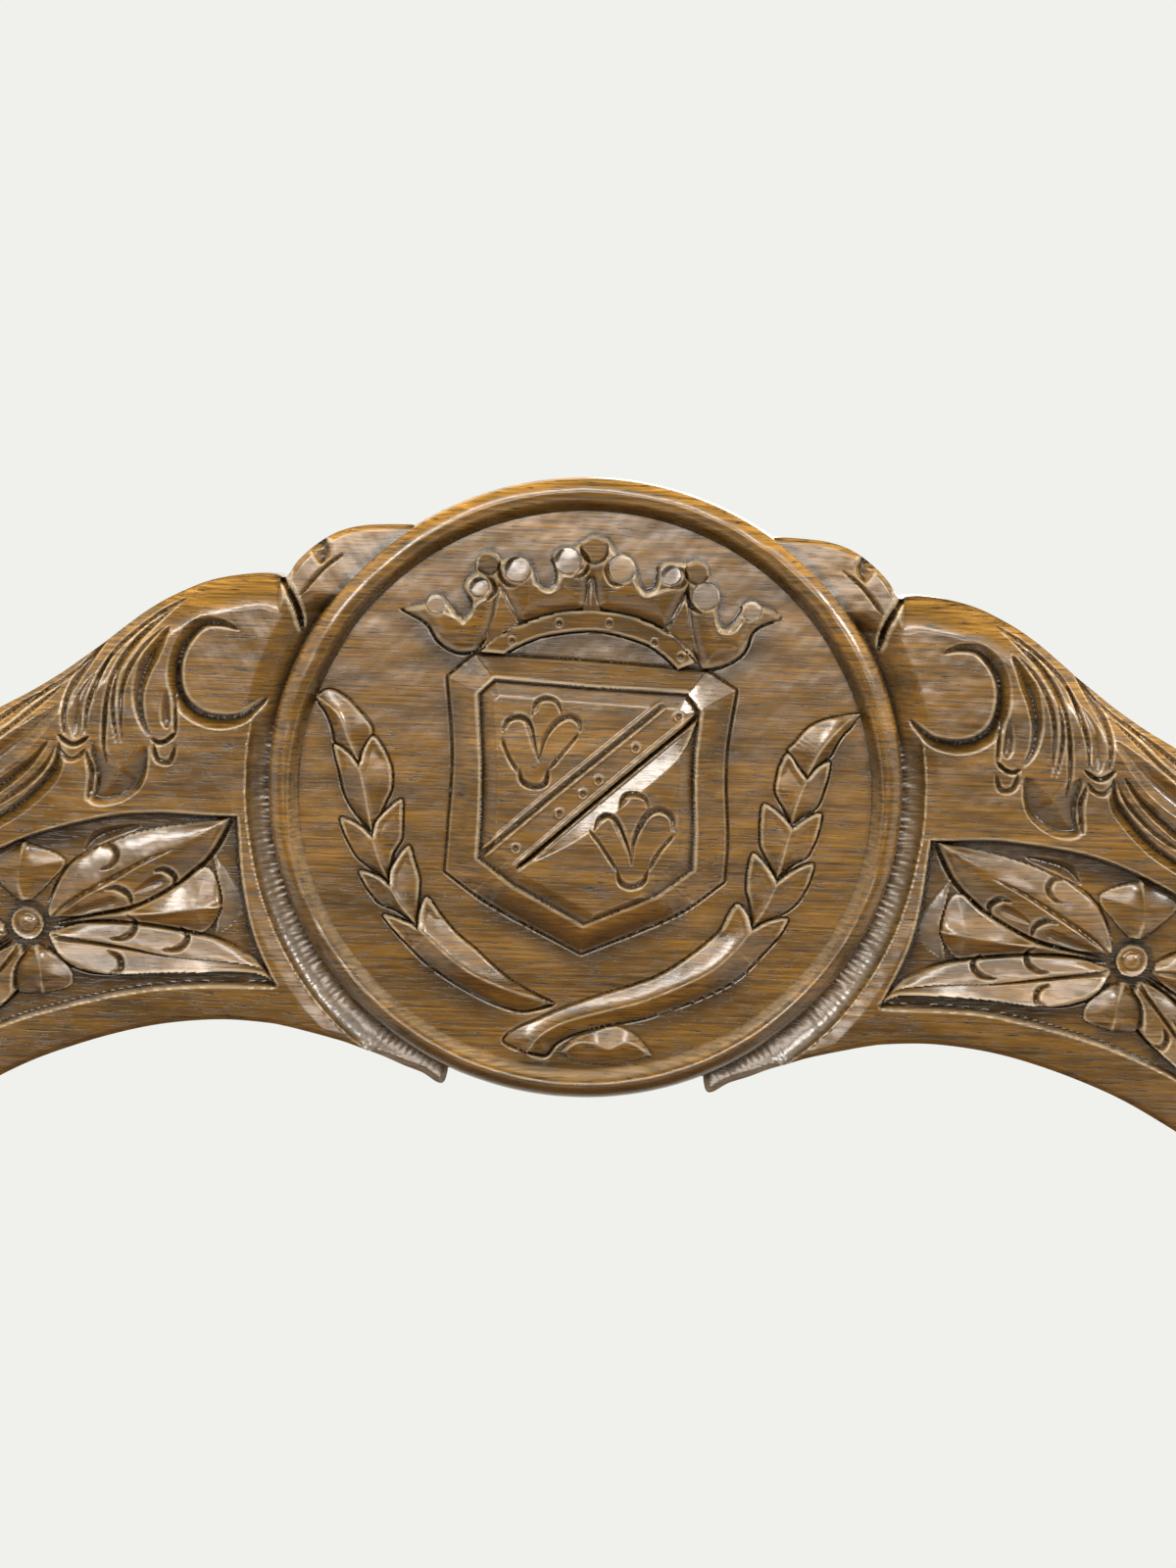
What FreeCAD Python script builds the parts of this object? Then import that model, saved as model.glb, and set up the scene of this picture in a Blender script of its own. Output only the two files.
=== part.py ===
import FreeCAD, Part
import math
import os
from FreeCAD import Vector

# A folding X-frame armchair with a carved crest rail across the back.
# Millimetres, +Z up, the chair faces -Y, the origin is on the floor under the middle.

# Overall sizes
ARM_HEIGHT = 700.0
ARM_SPAN = 570.0
FOOT_SPAN = 540.0
RUNNER_LENGTH = 580.0
PIVOT_HEIGHT = 330.0
REAR_LEG_SETBACK = 88.0

# Legs, each an S from one arm to the opposite foot
LEG_WIDTH = 52.0
LEG_THICKNESS = 40.0
LEG_EDGE_ROUND = 5.0
CROSSING_ANGLE = 20.0
END_LEAN = 5.0
EYE_MARGIN = 2.0
LAP_CLEARANCE = 0.3
FLUTE_WIDTH = 15.0
FLUTE_DEPTH = 2.5
FLUTE_MARGIN = 30.0

# Arms
ARM_WIDTH = 60.0
ARM_THICKNESS = 34.0
ARM_BEHIND_CREST = 20.0
HAND_CLEARANCE = 0.4
ARM_DIP = 8.0
ARM_WAIST = 8.0
ARM_END_ROUND = 12.0
VOLUTE_RADIUS = 34.0
VOLUTE_RISE = 5.0
ARM_EDGE_ROUND = 4.0
SCROLL_RING_RADIUS = 24.5
SCROLL_RING_WIDTH = 7.0
SCROLL_RING_DEPTH = 2.5

# Foot runners
RUNNER_WIDTH = 54.0
RUNNER_HEIGHT = 48.0
RUNNER_ARCH = 13.0
RUNNER_PAD = 112.0

# Joints in the wood
TENON_WIDTH = 26.0
TENON_DEPTH = 22.0
TENON_LENGTH = 23.0
TENON_CLEARANCE = 0.1
PEG_RADIUS = 4.0
PEG_LENGTH = 46.0
PEG_CLEARANCE = 0.05

# Pivot through both crossings
ROD_RADIUS = 8.0
ROD_CLEARANCE = 0.05
WASHER_RADIUS = 17.0
WASHER_THICKNESS = 2.0
WASHER_CLEARANCE = 0.1
NUT_WIDTH = 24.0
NUT_THICKNESS = 9.0
NUT_CLEARANCE = 0.2
BOSS_RADIUS = 56.0
BOSS_THICKNESS = 22.0
BOSS_RIM = 9.0
BOSS_RIM_EASE = 3.0
BOSS_HOLLOW_THICKNESS = 12.0
BOSS_KNOB_RADIUS = 15.0
BOSS_KNOB_TOP_RADIUS = 7.0
BOSS_KNOB_EASE = 5.5
REAR_BOSS_RADIUS = 40.0
REAR_BOSS_KNOB_RADIUS = 11.0
STRETCHER_RADIUS = 25.0
STRETCHER_NECK = 15.0
STRETCHER_COLLAR = 14.0
STRETCHER_COLLAR_RADIUS = 20.0
STRETCHER_COVE = 4.2
STRETCHER_RING = 8.4
STRETCHER_RING_RADIUS = 23.7
STRETCHER_BELLY_START = 140.0
STRETCHER_BELLY_RADIUS = 22.5

# Seat
RAIL_RADIUS = 18.0
RAIL_INSET = 65.0
RAIL_TENON_RADIUS = 11.0
RAIL_TENON_LENGTH = 30.0
LEATHER_THICKNESS = 4.0
LEATHER_GAP = 0.3
LEATHER_MARGIN = 6.0
SEAT_SAG = 65.0
WRAP_END_ANGLE = -35.0
NAIL_ANGLE = -8.0
NAIL_HEAD_RADIUS = 6.0
NAIL_HEAD_HEIGHT = 3.5
NAIL_CROWN_RADIUS = 4.0
NAIL_CROWN_DROP = 1.2
NAIL_SHANK_RADIUS = 1.2
NAIL_LENGTH = 14.0
NAIL_CLEARANCE = 0.05
NAIL_HOLE_EASE = 0.3
NAIL_PITCH = 36.0

# Crest rail, with the roundel's centre as the local origin
CREST_RISE = 170.0
CREST_THICKNESS = 30.0
CREST_BEHIND_LEG = 10.0
CREST_SEAT_GAP = 0.2
CREST_FOOT_WIDTH = 60.0
CREST_EAR_RADIUS = 29.0
CREST_EAR_DROP = 40.0
CREST_EAR_START = 140.0
CREST_WAIST = 6.0
CREST_KNEE_RISE = 22.0
CREST_HAUNCH_BULGE = 2.0
PRONG_WIDTH = 22.0
PRONG_SHOULDER = 2.0
PRONG_CLEARANCE = 0.4
ROUNDEL_RADIUS = 95.5
ROUNDEL_THICKNESS = 14.0
ROUNDEL_PROUD = 4.0
ROUNDEL_RIM = 9.5
ROUNDEL_SUNK = 5.5
ROUNDEL_CLEARANCE = 0.3
ROUNDEL_COVER = 3.5
COVE_RADIUS = 6.0
COVE_OVERHANG = 2.4
PANEL_DEPTH = 3.0
SCREW_RADIUS = 2.5
SCREW_HEAD_RADIUS = 5.5
SCREW_HEAD_DEPTH = 3.0
SCREW_BITE = 5.0
SCREW_CIRCLE_RADIUS = 58.0
SCREW_START_ANGLE = 45.0
SCREW_COUNT = 4
SCREW_CLEARANCE = 0.05

# Wing of the crest: places across and up from the roundel's centre
LEAF_START = (55.0, 80.0)
LEAF_CROWN = (79.0, 76.5)
SHOULDER_START = (94.0, 62.5)
SHOULDER_CROWN = (119.0, 60.3)
SHOULDER_END = (139.0, 50.0)
HOLLOW_MIDDLE = (180.0, 20.0)
ARCH_START = (41.0, -93.5)
ARCH_CROWN = (108.0, -75.0)
ARCH_END = (180.0, -96.4)
HUB_TIE = 60.0
PANEL_INNER_TOP = (107.0, -11.5)
PANEL_TOP_MIDDLE = (162.0, -16.5)
PANEL_OUTER_TOP = (228.0, -68.0)
PANEL_OUTER_MIDDLE = (225.0, -88.0)
PANEL_OUTER_LOW = (213.0, -103.0)
PANEL_LOW_MIDDLE = (152.0, -71.0)
PANEL_INNER_LOW = (93.0, -64.5)
PANEL_INNER_MIDDLE = (102.5, -43.0)

# Raised carving on the roundel: places across and up from its centre
SHIELD_TOP_CORNER = (36.0, 40.0)
SHIELD_SHOULDER = (44.5, 33.0)
SHIELD_WAIST = (42.3, 4.0)
SHIELD_HIP = (43.5, -27.0)
SHIELD_POINT = (0.0, -51.0)
SHIELD_HEIGHT = 3.6
SHIELD_RIDGE_SHARE = 0.79
SHIELD_FIELD_SHARE = 0.72
SHIELD_FIELD_SINK = 1.7
CROWN_DROP = 15.0
CROWN_INNER_RADIUS = 70.0
CROWN_OUTER_RADIUS = 82.0
CROWN_SWING = 38.0
CROWN_HEIGHT = 3.0
CROWN_BALL_CIRCLE = 85.0
CROWN_BALL_RADIUS = 3.8
CROWN_BALL_COUNT = 8
CROWN_BALL_SWING = 35.0
BAND_INNER_RADIUS = 63.5
BAND_OUTER_RADIUS = 69.0
BAND_SWING = 27.0
BAND_HEIGHT = 1.6
BRANCH_RADIUS = 71.0
BRANCH_START = 152.0
BRANCH_STEP = 14.5
LEAF_PAIRS = 6
LEAF_LENGTH = 19.0
LEAF_WIDTH = 8.5
LEAF_SPLAY = 20.0
LEAF_HEIGHT = 1.8

# Places worked out from the sizes above
ARM_X = ARM_SPAN / 2
FOOT_X = FOOT_SPAN / 2
ARM_UNDERSIDE = ARM_HEIGHT - ARM_THICKNESS
RAIL_OUT = ARM_X - RAIL_INSET
RUNNER_END = RUNNER_LENGTH / 2
HAND_Y = -RUNNER_END + VOLUTE_RADIUS
HAND_Z = ARM_HEIGHT + VOLUTE_RISE - VOLUTE_RADIUS
FRONT_LEG_Y = HAND_Y + VOLUTE_RADIUS + HAND_CLEARANCE + LEG_THICKNESS / 2
REAR_LEG_Y = RUNNER_END - REAR_LEG_SETBACK
BAY_FRONT = FRONT_LEG_Y + LEG_THICKNESS / 2
BAY_BACK = REAR_LEG_Y - LEG_THICKNESS / 2
EYE_RADIUS = LEG_WIDTH / 2 / math.sin(math.radians(CROSSING_ANGLE)) + EYE_MARGIN
CREST_FRONT = REAR_LEG_Y + LEG_THICKNESS / 2 + CREST_BEHIND_LEG
CREST_BACK = CREST_FRONT + CREST_THICKNESS
ARM_END = CREST_BACK + ARM_BEHIND_CREST
CREST_Z = ARM_HEIGHT + CREST_RISE
ROUNDEL_FRONT = CREST_FRONT - ROUNDEL_PROUD
ROUNDEL_BACK = ROUNDEL_FRONT + ROUNDEL_THICKNESS
ROUNDEL_FIELD = ROUNDEL_FRONT + ROUNDEL_SUNK
ROUND_CORNER = 1 - math.sqrt(0.5)
ALONG_X = Vector(1, 0, 0)
ALONG_Y = Vector(0, 1, 0)
ORIGIN = Vector(0, 0, 0)


def polar(centre, radius, degrees):
    """Point in the XZ plane at an angle from a centre."""
    turn = math.radians(degrees)
    return centre + Vector(radius * math.cos(turn), 0, radius * math.sin(turn))


def arc(centre, radius, start, end):
    """Arc in the XZ plane about a centre, from one angle to another."""
    middle = polar(centre, radius, (start + end) / 2)
    return Part.Arc(polar(centre, radius, start), middle, polar(centre, radius, end)).toShape()


def curve(start, middle, end):
    """Arc through three points."""
    return Part.Arc(start, middle, end).toShape()


def sweep(start, middle, end, heading):
    """Smooth edge through three points that starts and ends along one heading."""
    path = Part.BSplineCurve()
    path.interpolate(Points=[start, middle, end], InitialTangent=heading, FinalTangent=heading)
    return path.toShape()


def line(start, end):
    """Straight edge."""
    return Part.LineSegment(start, end).toShape()


def plate(edges, push):
    """Solid pushed out from a closed outline."""
    return Part.Face(Part.Wire(edges)).extrude(push)


def polygon(points):
    """Closed straight-sided outline as edges."""
    return [line(a, b) for a, b in zip(points, points[1:] + points[:1])]


def disc(radius, start_y, end_y, x=0.0, z=0.0):
    """Cylinder that lies along Y."""
    return Part.makeCylinder(radius, end_y - start_y, Vector(x, start_y, z), ALONG_Y)


def block(x0, x1, y0, y1, z0, z1):
    """Box between two corners."""
    return Part.makeBox(x1 - x0, y1 - y0, z1 - z0, Vector(x0, y0, z0))


def turned(points, centre, axis, out):
    """Solid turned about an axis from pairs of distance along it and radius."""
    spots = [centre + axis * along + out * radius for along, radius in points]
    closed = [centre + axis * points[0][0]] + spots + [centre + axis * points[-1][0]]
    return Part.Face(Part.Wire(polygon(closed))).revolve(centre, axis, 360)


def mirrored(shape):
    """The same piece on the other side of the chair."""
    return shape.mirror(ORIGIN, ALONG_X)


class Bend:
    """Half of a leg's centre line: straight from the pivot, then an arc to its end."""

    def __init__(self, reach, height, heading):
        start = math.radians(CROSSING_ANGLE)
        end = math.radians(90 - END_LEAN)
        across = math.sin(end) - math.sin(start)
        up = math.cos(start) - math.cos(end)
        spread = math.cos(start) * up - math.sin(start) * across
        straight = (reach * up - height * across) / spread
        self.radius = (height * math.cos(start) - reach * math.sin(start)) / spread
        self.first = heading
        self.last = heading + 90 - END_LEAN - CROSSING_ANGLE
        pivot = Vector(0, 0, PIVOT_HEIGHT)
        knee = polar(pivot, straight, heading)
        self.centre = polar(knee, self.radius, heading + 90)

    def side(self, offset):
        """Arc of the bend at a distance outside its centre line, from the knee to the end."""
        return arc(self.centre, self.radius + offset, self.first - 90, self.last - 90)

    def tail(self, offset):
        """Point a little past the end of the bend, on the same side."""
        end = polar(self.centre, self.radius + offset, self.last - 90)
        return polar(end, LEG_WIDTH / 4, self.last)

    def out_at(self, x):
        """Height of the centre line where it is x from the middle of the chair."""
        drop = math.sqrt(self.radius ** 2 - (x - self.centre.x) ** 2)
        return self.centre.z - drop


UPPER = Bend(ARM_X, ARM_UNDERSIDE - PIVOT_HEIGHT, CROSSING_ANGLE)
LOWER = Bend(FOOT_X, PIVOT_HEIGHT - RUNNER_HEIGHT, 180 + CROSSING_ANGLE)
RAIL_Z = UPPER.out_at(RAIL_OUT)


def leg_outline(width):
    """Edges of the S from the left foot, over the pivot, to the right arm."""
    half = width / 2
    upper_in = UPPER.side(-half)
    upper_out = UPPER.side(half)
    lower_in = LOWER.side(-half)
    lower_out = LOWER.side(half)
    return [
        lower_out,
        line(lower_out.firstVertex().Point, upper_in.firstVertex().Point),
        upper_in,
        line(upper_in.lastVertex().Point, UPPER.tail(-half)),
        line(UPPER.tail(-half), UPPER.tail(half)),
        line(UPPER.tail(half), upper_out.lastVertex().Point),
        upper_out,
        line(upper_out.firstVertex().Point, lower_in.firstVertex().Point),
        lower_in,
        line(lower_in.lastVertex().Point, LOWER.tail(-half)),
        line(LOWER.tail(-half), LOWER.tail(half)),
        line(LOWER.tail(half), lower_out.lastVertex().Point),
    ]


def leg_strip(width, y0, y1):
    """The S pushed out between two depths."""
    strip = plate(Part.sortEdges(leg_outline(width))[0], Vector(0, y1 - y0, 0))
    strip.translate(Vector(0, y0, 0))
    return strip


def level_band(low, high):
    """Wide box between two heights."""
    return block(-2 * ARM_SPAN, 2 * ARM_SPAN, -2 * RUNNER_LENGTH, 2 * RUNNER_LENGTH, low, high)


def is_long_edge(edge, strip):
    """True for the outline edges on the front and rear faces of a strip."""
    box = strip.BoundBox
    flat = edge.BoundBox.YLength < 0.001
    on_face = min(abs(edge.CenterOfMass.y - box.YMin), abs(edge.CenterOfMass.y - box.YMax)) < 0.001
    return flat and on_face


def end_tenon(x, y, low, grow):
    """Tenon on a leg's end, or the mortise for it when grown by the clearance."""
    wide = TENON_WIDTH / 2 + grow
    deep = TENON_DEPTH / 2 + grow
    return block(x - wide, x + wide, y - deep, y + deep, low - grow, low + TENON_LENGTH + grow)


def top_tenon(y, grow=0.0):
    """Tenon that goes up into the right arm."""
    return end_tenon(ARM_X, y, ARM_UNDERSIDE, grow)


def foot_tenon(y, grow=0.0):
    """Tenon that goes down into the left runner."""
    return end_tenon(-FOOT_X, y, RUNNER_HEIGHT - TENON_LENGTH, grow)


def arm_peg(y, grow=0.0):
    """Peg that locks a tenon in the right arm."""
    start = Vector(ARM_X + ARM_WIDTH / 2, y, ARM_UNDERSIDE + TENON_LENGTH / 2)
    return Part.makeCylinder(PEG_RADIUS + grow, PEG_LENGTH, start, -ALONG_X)


def foot_peg(y, grow=0.0):
    """Peg that locks a tenon in the left runner."""
    start = Vector(-FOOT_X - RUNNER_WIDTH / 2, y, RUNNER_HEIGHT - TENON_LENGTH / 2)
    return Part.makeCylinder(PEG_RADIUS + grow, PEG_LENGTH, start, ALONG_X)


def rail_tenon(y, toward, grow=0.0):
    """Round tenon of the right seat rail, from a leg's face into the leg."""
    start = Vector(RAIL_OUT, y, RAIL_Z)
    return Part.makeCylinder(RAIL_TENON_RADIUS + grow, RAIL_TENON_LENGTH + grow, start, ALONG_Y * toward)


def leg(y, half, outward):
    """S-shaped leg from the left foot to the right arm, with half of the round lap.

    half is -1 for the leg that laps in front and +1 for the one behind;
    outward is the side of the leg that shows, -1 to the front and +1 to the back.
    """
    front = y - LEG_THICKNESS / 2
    back = y + LEG_THICKNESS / 2
    strip = leg_strip(LEG_WIDTH, front, back)
    strip = strip.makeFillet(LEG_EDGE_ROUND, [e for e in strip.Edges if is_long_edge(e, strip)])
    strip = strip.common(level_band(RUNNER_HEIGHT, ARM_UNDERSIDE))
    keep_near, keep_far = sorted((y + half * LAP_CLEARANCE / 2, y + half * LEG_THICKNESS / 2))
    lose_near, lose_far = sorted((y + half * LAP_CLEARANCE / 2, y - half * LEG_THICKNESS))
    strip = strip.cut(disc(EYE_RADIUS + LAP_CLEARANCE, lose_near, lose_far, z=PIVOT_HEIGHT))
    eye = disc(EYE_RADIUS, keep_near, keep_far, z=PIVOT_HEIGHT)
    face = y + outward * LEG_THICKNESS / 2
    flute = leg_strip(FLUTE_WIDTH, *sorted((face, face - outward * FLUTE_DEPTH)))
    flute = flute.common(level_band(RUNNER_HEIGHT + FLUTE_MARGIN, ARM_UNDERSIDE - FLUTE_MARGIN))
    flute = flute.cut(disc(EYE_RADIUS + FLUTE_WIDTH, front, back, z=PIVOT_HEIGHT))
    body = strip.fuse(eye).cut(flute)
    body = body.fuse([top_tenon(y), foot_tenon(y)])
    bore = disc(ROD_RADIUS + ROD_CLEARANCE, front, back, z=PIVOT_HEIGHT)
    into = 1 if y > 0 else -1
    socket = rail_tenon(y - into * LEG_THICKNESS / 2, into, TENON_CLEARANCE)
    pegs = [arm_peg(y, PEG_CLEARANCE), foot_peg(y, PEG_CLEARANCE)]
    return body.cut([bore, socket] + pegs).removeSplitter()


def arm_profile():
    """Side view of an arm: a flat seat for the crest, a dip for the forearm, a rolled front."""
    hand = Vector(0, HAND_Y, HAND_Z)
    flat_end = Vector(0, BAY_BACK, ARM_HEIGHT)
    crown = Vector(0, HAND_Y, ARM_HEIGHT + VOLUTE_RISE)
    dip = Vector(0, (BAY_BACK + HAND_Y) / 2, ARM_HEIGHT - ARM_DIP)
    rear_top = Vector(0, ARM_END - ARM_END_ROUND, ARM_HEIGHT)
    rear_end = Vector(0, ARM_END, ARM_HEIGHT - ARM_END_ROUND)
    cut_back = ARM_END_ROUND * ROUND_CORNER
    rear_corner = Vector(0, ARM_END - cut_back, ARM_HEIGHT - cut_back)
    rear_low = Vector(0, ARM_END, ARM_UNDERSIDE)
    reach = math.sqrt(VOLUTE_RADIUS ** 2 - (ARM_UNDERSIDE - HAND_Z) ** 2)
    throat = Vector(0, HAND_Y + reach, ARM_UNDERSIDE)
    chin = hand + (throat - hand + Vector(0, 0, -2 * VOLUTE_RADIUS)).normalize() * VOLUTE_RADIUS
    nose = hand + Vector(0, -VOLUTE_RADIUS, 0)
    return [
        line(rear_top, flat_end),
        sweep(flat_end, dip, crown, -ALONG_Y),
        curve(crown, hand + Vector(0, -1, 1).normalize() * VOLUTE_RADIUS, nose),
        curve(nose, hand + Vector(0, -1, -1).normalize() * VOLUTE_RADIUS, hand + Vector(0, 0, -VOLUTE_RADIUS)),
        curve(hand + Vector(0, 0, -VOLUTE_RADIUS), chin, throat),
        line(throat, rear_low),
        line(rear_low, rear_end),
        curve(rear_end, rear_corner, rear_top),
    ]


def scroll_ring(face_x, inward):
    """Ring sunk in a side of the rolled arm front."""
    hand = Vector(face_x, HAND_Y, HAND_Z)
    ring = Part.makeCylinder(SCROLL_RING_RADIUS, SCROLL_RING_DEPTH, hand, ALONG_X * inward)
    core = Part.makeCylinder(SCROLL_RING_RADIUS - SCROLL_RING_WIDTH, SCROLL_RING_DEPTH, hand, ALONG_X * inward)
    return ring.cut(core)


def is_top_edge(edge, body):
    """True for the edges along both sides of an arm's top and of its rolled front."""
    box = edge.BoundBox
    on_side = min(abs(box.XMin - body.BoundBox.XMin), abs(box.XMax - body.BoundBox.XMax)) < 0.001
    return on_side and box.XLength < 0.001 and edge.CenterOfMass.z > HAND_Z


def arm():
    """Right arm, with mortises for the legs and an open notch for the crest's prong."""
    inner = ARM_X - ARM_WIDTH / 2
    outer = ARM_X + ARM_WIDTH / 2
    body = plate(arm_profile(), Vector(ARM_WIDTH, 0, 0))
    body.translate(Vector(inner, 0, 0))
    body = body.makeFillet(ARM_EDGE_ROUND, [e for e in body.Edges if is_top_edge(e, body)])
    middle = (FRONT_LEG_Y + REAR_LEG_Y) / 2
    below = Vector(0, 0, RUNNER_HEIGHT)
    scoop = plate(
        [
            curve(
                Vector(inner, BAY_FRONT, 0) + below,
                Vector(inner + ARM_WAIST, middle, 0) + below,
                Vector(inner, BAY_BACK, 0) + below,
            ),
            line(Vector(inner, BAY_BACK, 0) + below, Vector(inner, BAY_FRONT, 0) + below),
        ],
        Vector(0, 0, 2 * ARM_HEIGHT),
    )
    notch = block(
        outer - PRONG_SHOULDER - PRONG_WIDTH - PRONG_CLEARANCE,
        outer,
        CREST_FRONT + PRONG_SHOULDER - PRONG_CLEARANCE,
        CREST_BACK - PRONG_SHOULDER + PRONG_CLEARANCE,
        ARM_UNDERSIDE,
        ARM_HEIGHT,
    )
    cuts = [scoop, notch, scroll_ring(outer, -1), scroll_ring(inner, 1)]
    for y in (FRONT_LEG_Y, REAR_LEG_Y):
        cuts += [top_tenon(y, TENON_CLEARANCE), arm_peg(y, PEG_CLEARANCE)]
    return body.cut(cuts).removeSplitter()


def runner():
    """Left foot runner: round ends, flat pads and a low arch between them."""
    end = RUNNER_HEIGHT / 2
    spots = []
    for way in (-1, 1):
        centre = Vector(0, way * (RUNNER_END - end), end)
        spots.append((centre + Vector(0, 0, -end), centre + Vector(0, way * end, 0), centre + Vector(0, 0, end)))
    front, back = spots
    pad = RUNNER_END - RUNNER_PAD
    edges = [
        curve(*front),
        line(front[2], back[2]),
        curve(*back),
        line(back[0], Vector(0, pad, 0)),
        curve(Vector(0, pad, 0), Vector(0, 0, RUNNER_ARCH), Vector(0, -pad, 0)),
        line(Vector(0, -pad, 0), front[0]),
    ]
    body = plate(Part.sortEdges(edges)[0], Vector(RUNNER_WIDTH, 0, 0))
    body.translate(Vector(-FOOT_X - RUNNER_WIDTH / 2, 0, 0))
    cuts = []
    for y in (FRONT_LEG_Y, REAR_LEG_Y):
        cuts += [foot_tenon(y, TENON_CLEARANCE), foot_peg(y, PEG_CLEARANCE)]
    return body.cut(cuts).removeSplitter()


def pegs(make):
    """Pair of pegs, one at each leg."""
    return Part.makeCompound([make(y) for y in (FRONT_LEG_Y, REAR_LEG_Y)])


def seat_rail():
    """Right seat rail between the front and the rear leg."""
    body = disc(RAIL_RADIUS, BAY_FRONT, BAY_BACK, RAIL_OUT, RAIL_Z)
    body = body.fuse([rail_tenon(BAY_FRONT, -1), rail_tenon(BAY_BACK, 1)])
    return body.cut([nail(y, NAIL_CLEARANCE) for y in nail_rows()]).removeSplitter()


def nail_rows():
    """Depths of the seat nails along a rail."""
    near = BAY_FRONT + LEATHER_MARGIN
    far = BAY_BACK - LEATHER_MARGIN
    count = max(2, int((far - near) // NAIL_PITCH))
    step = (far - near) / count
    return [near + step * (i + 0.5) for i in range(count)]


def nail(y, grow=0.0):
    """Round-headed nail through the leather into the right rail."""
    rail = Vector(RAIL_OUT, y, RAIL_Z)
    out = polar(ORIGIN, 1.0, NAIL_ANGLE)
    base = RAIL_RADIUS + LEATHER_GAP + LEATHER_THICKNESS + LEATHER_GAP
    shank = NAIL_SHANK_RADIUS + grow
    profile = [
        (base - NAIL_LENGTH, shank),
        (base, shank),
        (base, NAIL_HEAD_RADIUS),
        (base + NAIL_HEAD_HEIGHT - NAIL_CROWN_DROP, NAIL_CROWN_RADIUS),
        (base + NAIL_HEAD_HEIGHT, NAIL_SHANK_RADIUS),
    ]
    return turned(profile, rail, out, ALONG_Y)


def nails():
    """All the nails of the right rail."""
    return Part.makeCompound([nail(y) for y in nail_rows()])


def seat_leather():
    """Leather slung between the rails, wrapped over each and hanging in one curve."""
    wrap = RAIL_RADIUS + LEATHER_GAP + LEATHER_THICKNESS / 2
    fall = SEAT_SAG
    reach = (RAIL_OUT ** 2 + fall ** 2) / (2 * fall)
    sling = reach - wrap
    middle = Vector(0, 0, RAIL_Z + reach - fall)
    rails = Vector(RAIL_OUT, 0, RAIL_Z)
    lean = math.degrees(math.atan2(middle.z - rails.z, middle.x - rails.x))
    half = LEATHER_THICKNESS / 2
    left = Vector(-RAIL_OUT, 0, RAIL_Z)
    edges = []
    for side in (-half, half):
        edges += [
            arc(rails, wrap + side, WRAP_END_ANGLE, lean),
            arc(middle, sling - side, lean - 180, -lean),
            arc(left, wrap + side, 180 - lean, 180 - WRAP_END_ANGLE),
        ]
    for centre, angle in ((rails, WRAP_END_ANGLE), (left, 180 - WRAP_END_ANGLE)):
        edges.append(line(polar(centre, wrap - half, angle), polar(centre, wrap + half, angle)))
    near = BAY_FRONT + LEATHER_MARGIN
    far = BAY_BACK - LEATHER_MARGIN
    sheet = plate(Part.sortEdges(edges)[0], Vector(0, far - near, 0))
    sheet.translate(Vector(0, near, 0))
    holes = [nail(y, NAIL_HOLE_EASE) for y in nail_rows()]
    return sheet.cut(holes + [mirrored(h) for h in holes])


def pivot_faces():
    """Depths of the outer faces of the front and rear crossings."""
    return FRONT_LEG_Y - LEG_THICKNESS / 2, REAR_LEG_Y + LEG_THICKNESS / 2


def washer(y0, y1):
    """Flat ring on the pivot rod."""
    hole = disc(ROD_RADIUS + ROD_CLEARANCE, y0, y1, z=PIVOT_HEIGHT)
    return disc(WASHER_RADIUS, y0, y1, z=PIVOT_HEIGHT).cut(hole)


def washers():
    """Rings between the crossings and the bosses, and at the ends of the stretcher."""
    front, back = pivot_faces()
    starts = [
        front - WASHER_CLEARANCE - WASHER_THICKNESS,
        BAY_FRONT + WASHER_CLEARANCE,
        BAY_BACK - WASHER_CLEARANCE - WASHER_THICKNESS,
        back + WASHER_CLEARANCE,
    ]
    return Part.makeCompound([washer(y, y + WASHER_THICKNESS) for y in starts])


def nut_block(grow):
    """Square nuts on the two ends of the rod, or their pockets when grown."""
    front, back = pivot_faces()
    half = NUT_WIDTH / 2 + grow
    step = WASHER_CLEARANCE + WASHER_THICKNESS
    near = front - step
    far = back + step
    return [
        block(-half, half, near - NUT_THICKNESS - grow, near, PIVOT_HEIGHT - half, PIVOT_HEIGHT + half),
        block(-half, half, far, far + NUT_THICKNESS + grow, PIVOT_HEIGHT - half, PIVOT_HEIGHT + half),
    ]


def rod_ends(grow):
    """Depths of the ends of the rod, one nut's thickness past each washer."""
    front, back = pivot_faces()
    past = WASHER_CLEARANCE + WASHER_THICKNESS + NUT_THICKNESS + grow
    return front - past, back + past


def pivot_rod():
    """Iron rod through both crossings and the stretcher."""
    return disc(ROD_RADIUS, *rod_ends(0.0), z=PIVOT_HEIGHT)


def pivot_nuts():
    """Square iron nuts that hold the rod."""
    hole = disc(ROD_RADIUS + ROD_CLEARANCE, *rod_ends(0.0), z=PIVOT_HEIGHT)
    return Part.makeCompound([nut.cut(hole) for nut in nut_block(0.0)])


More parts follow.
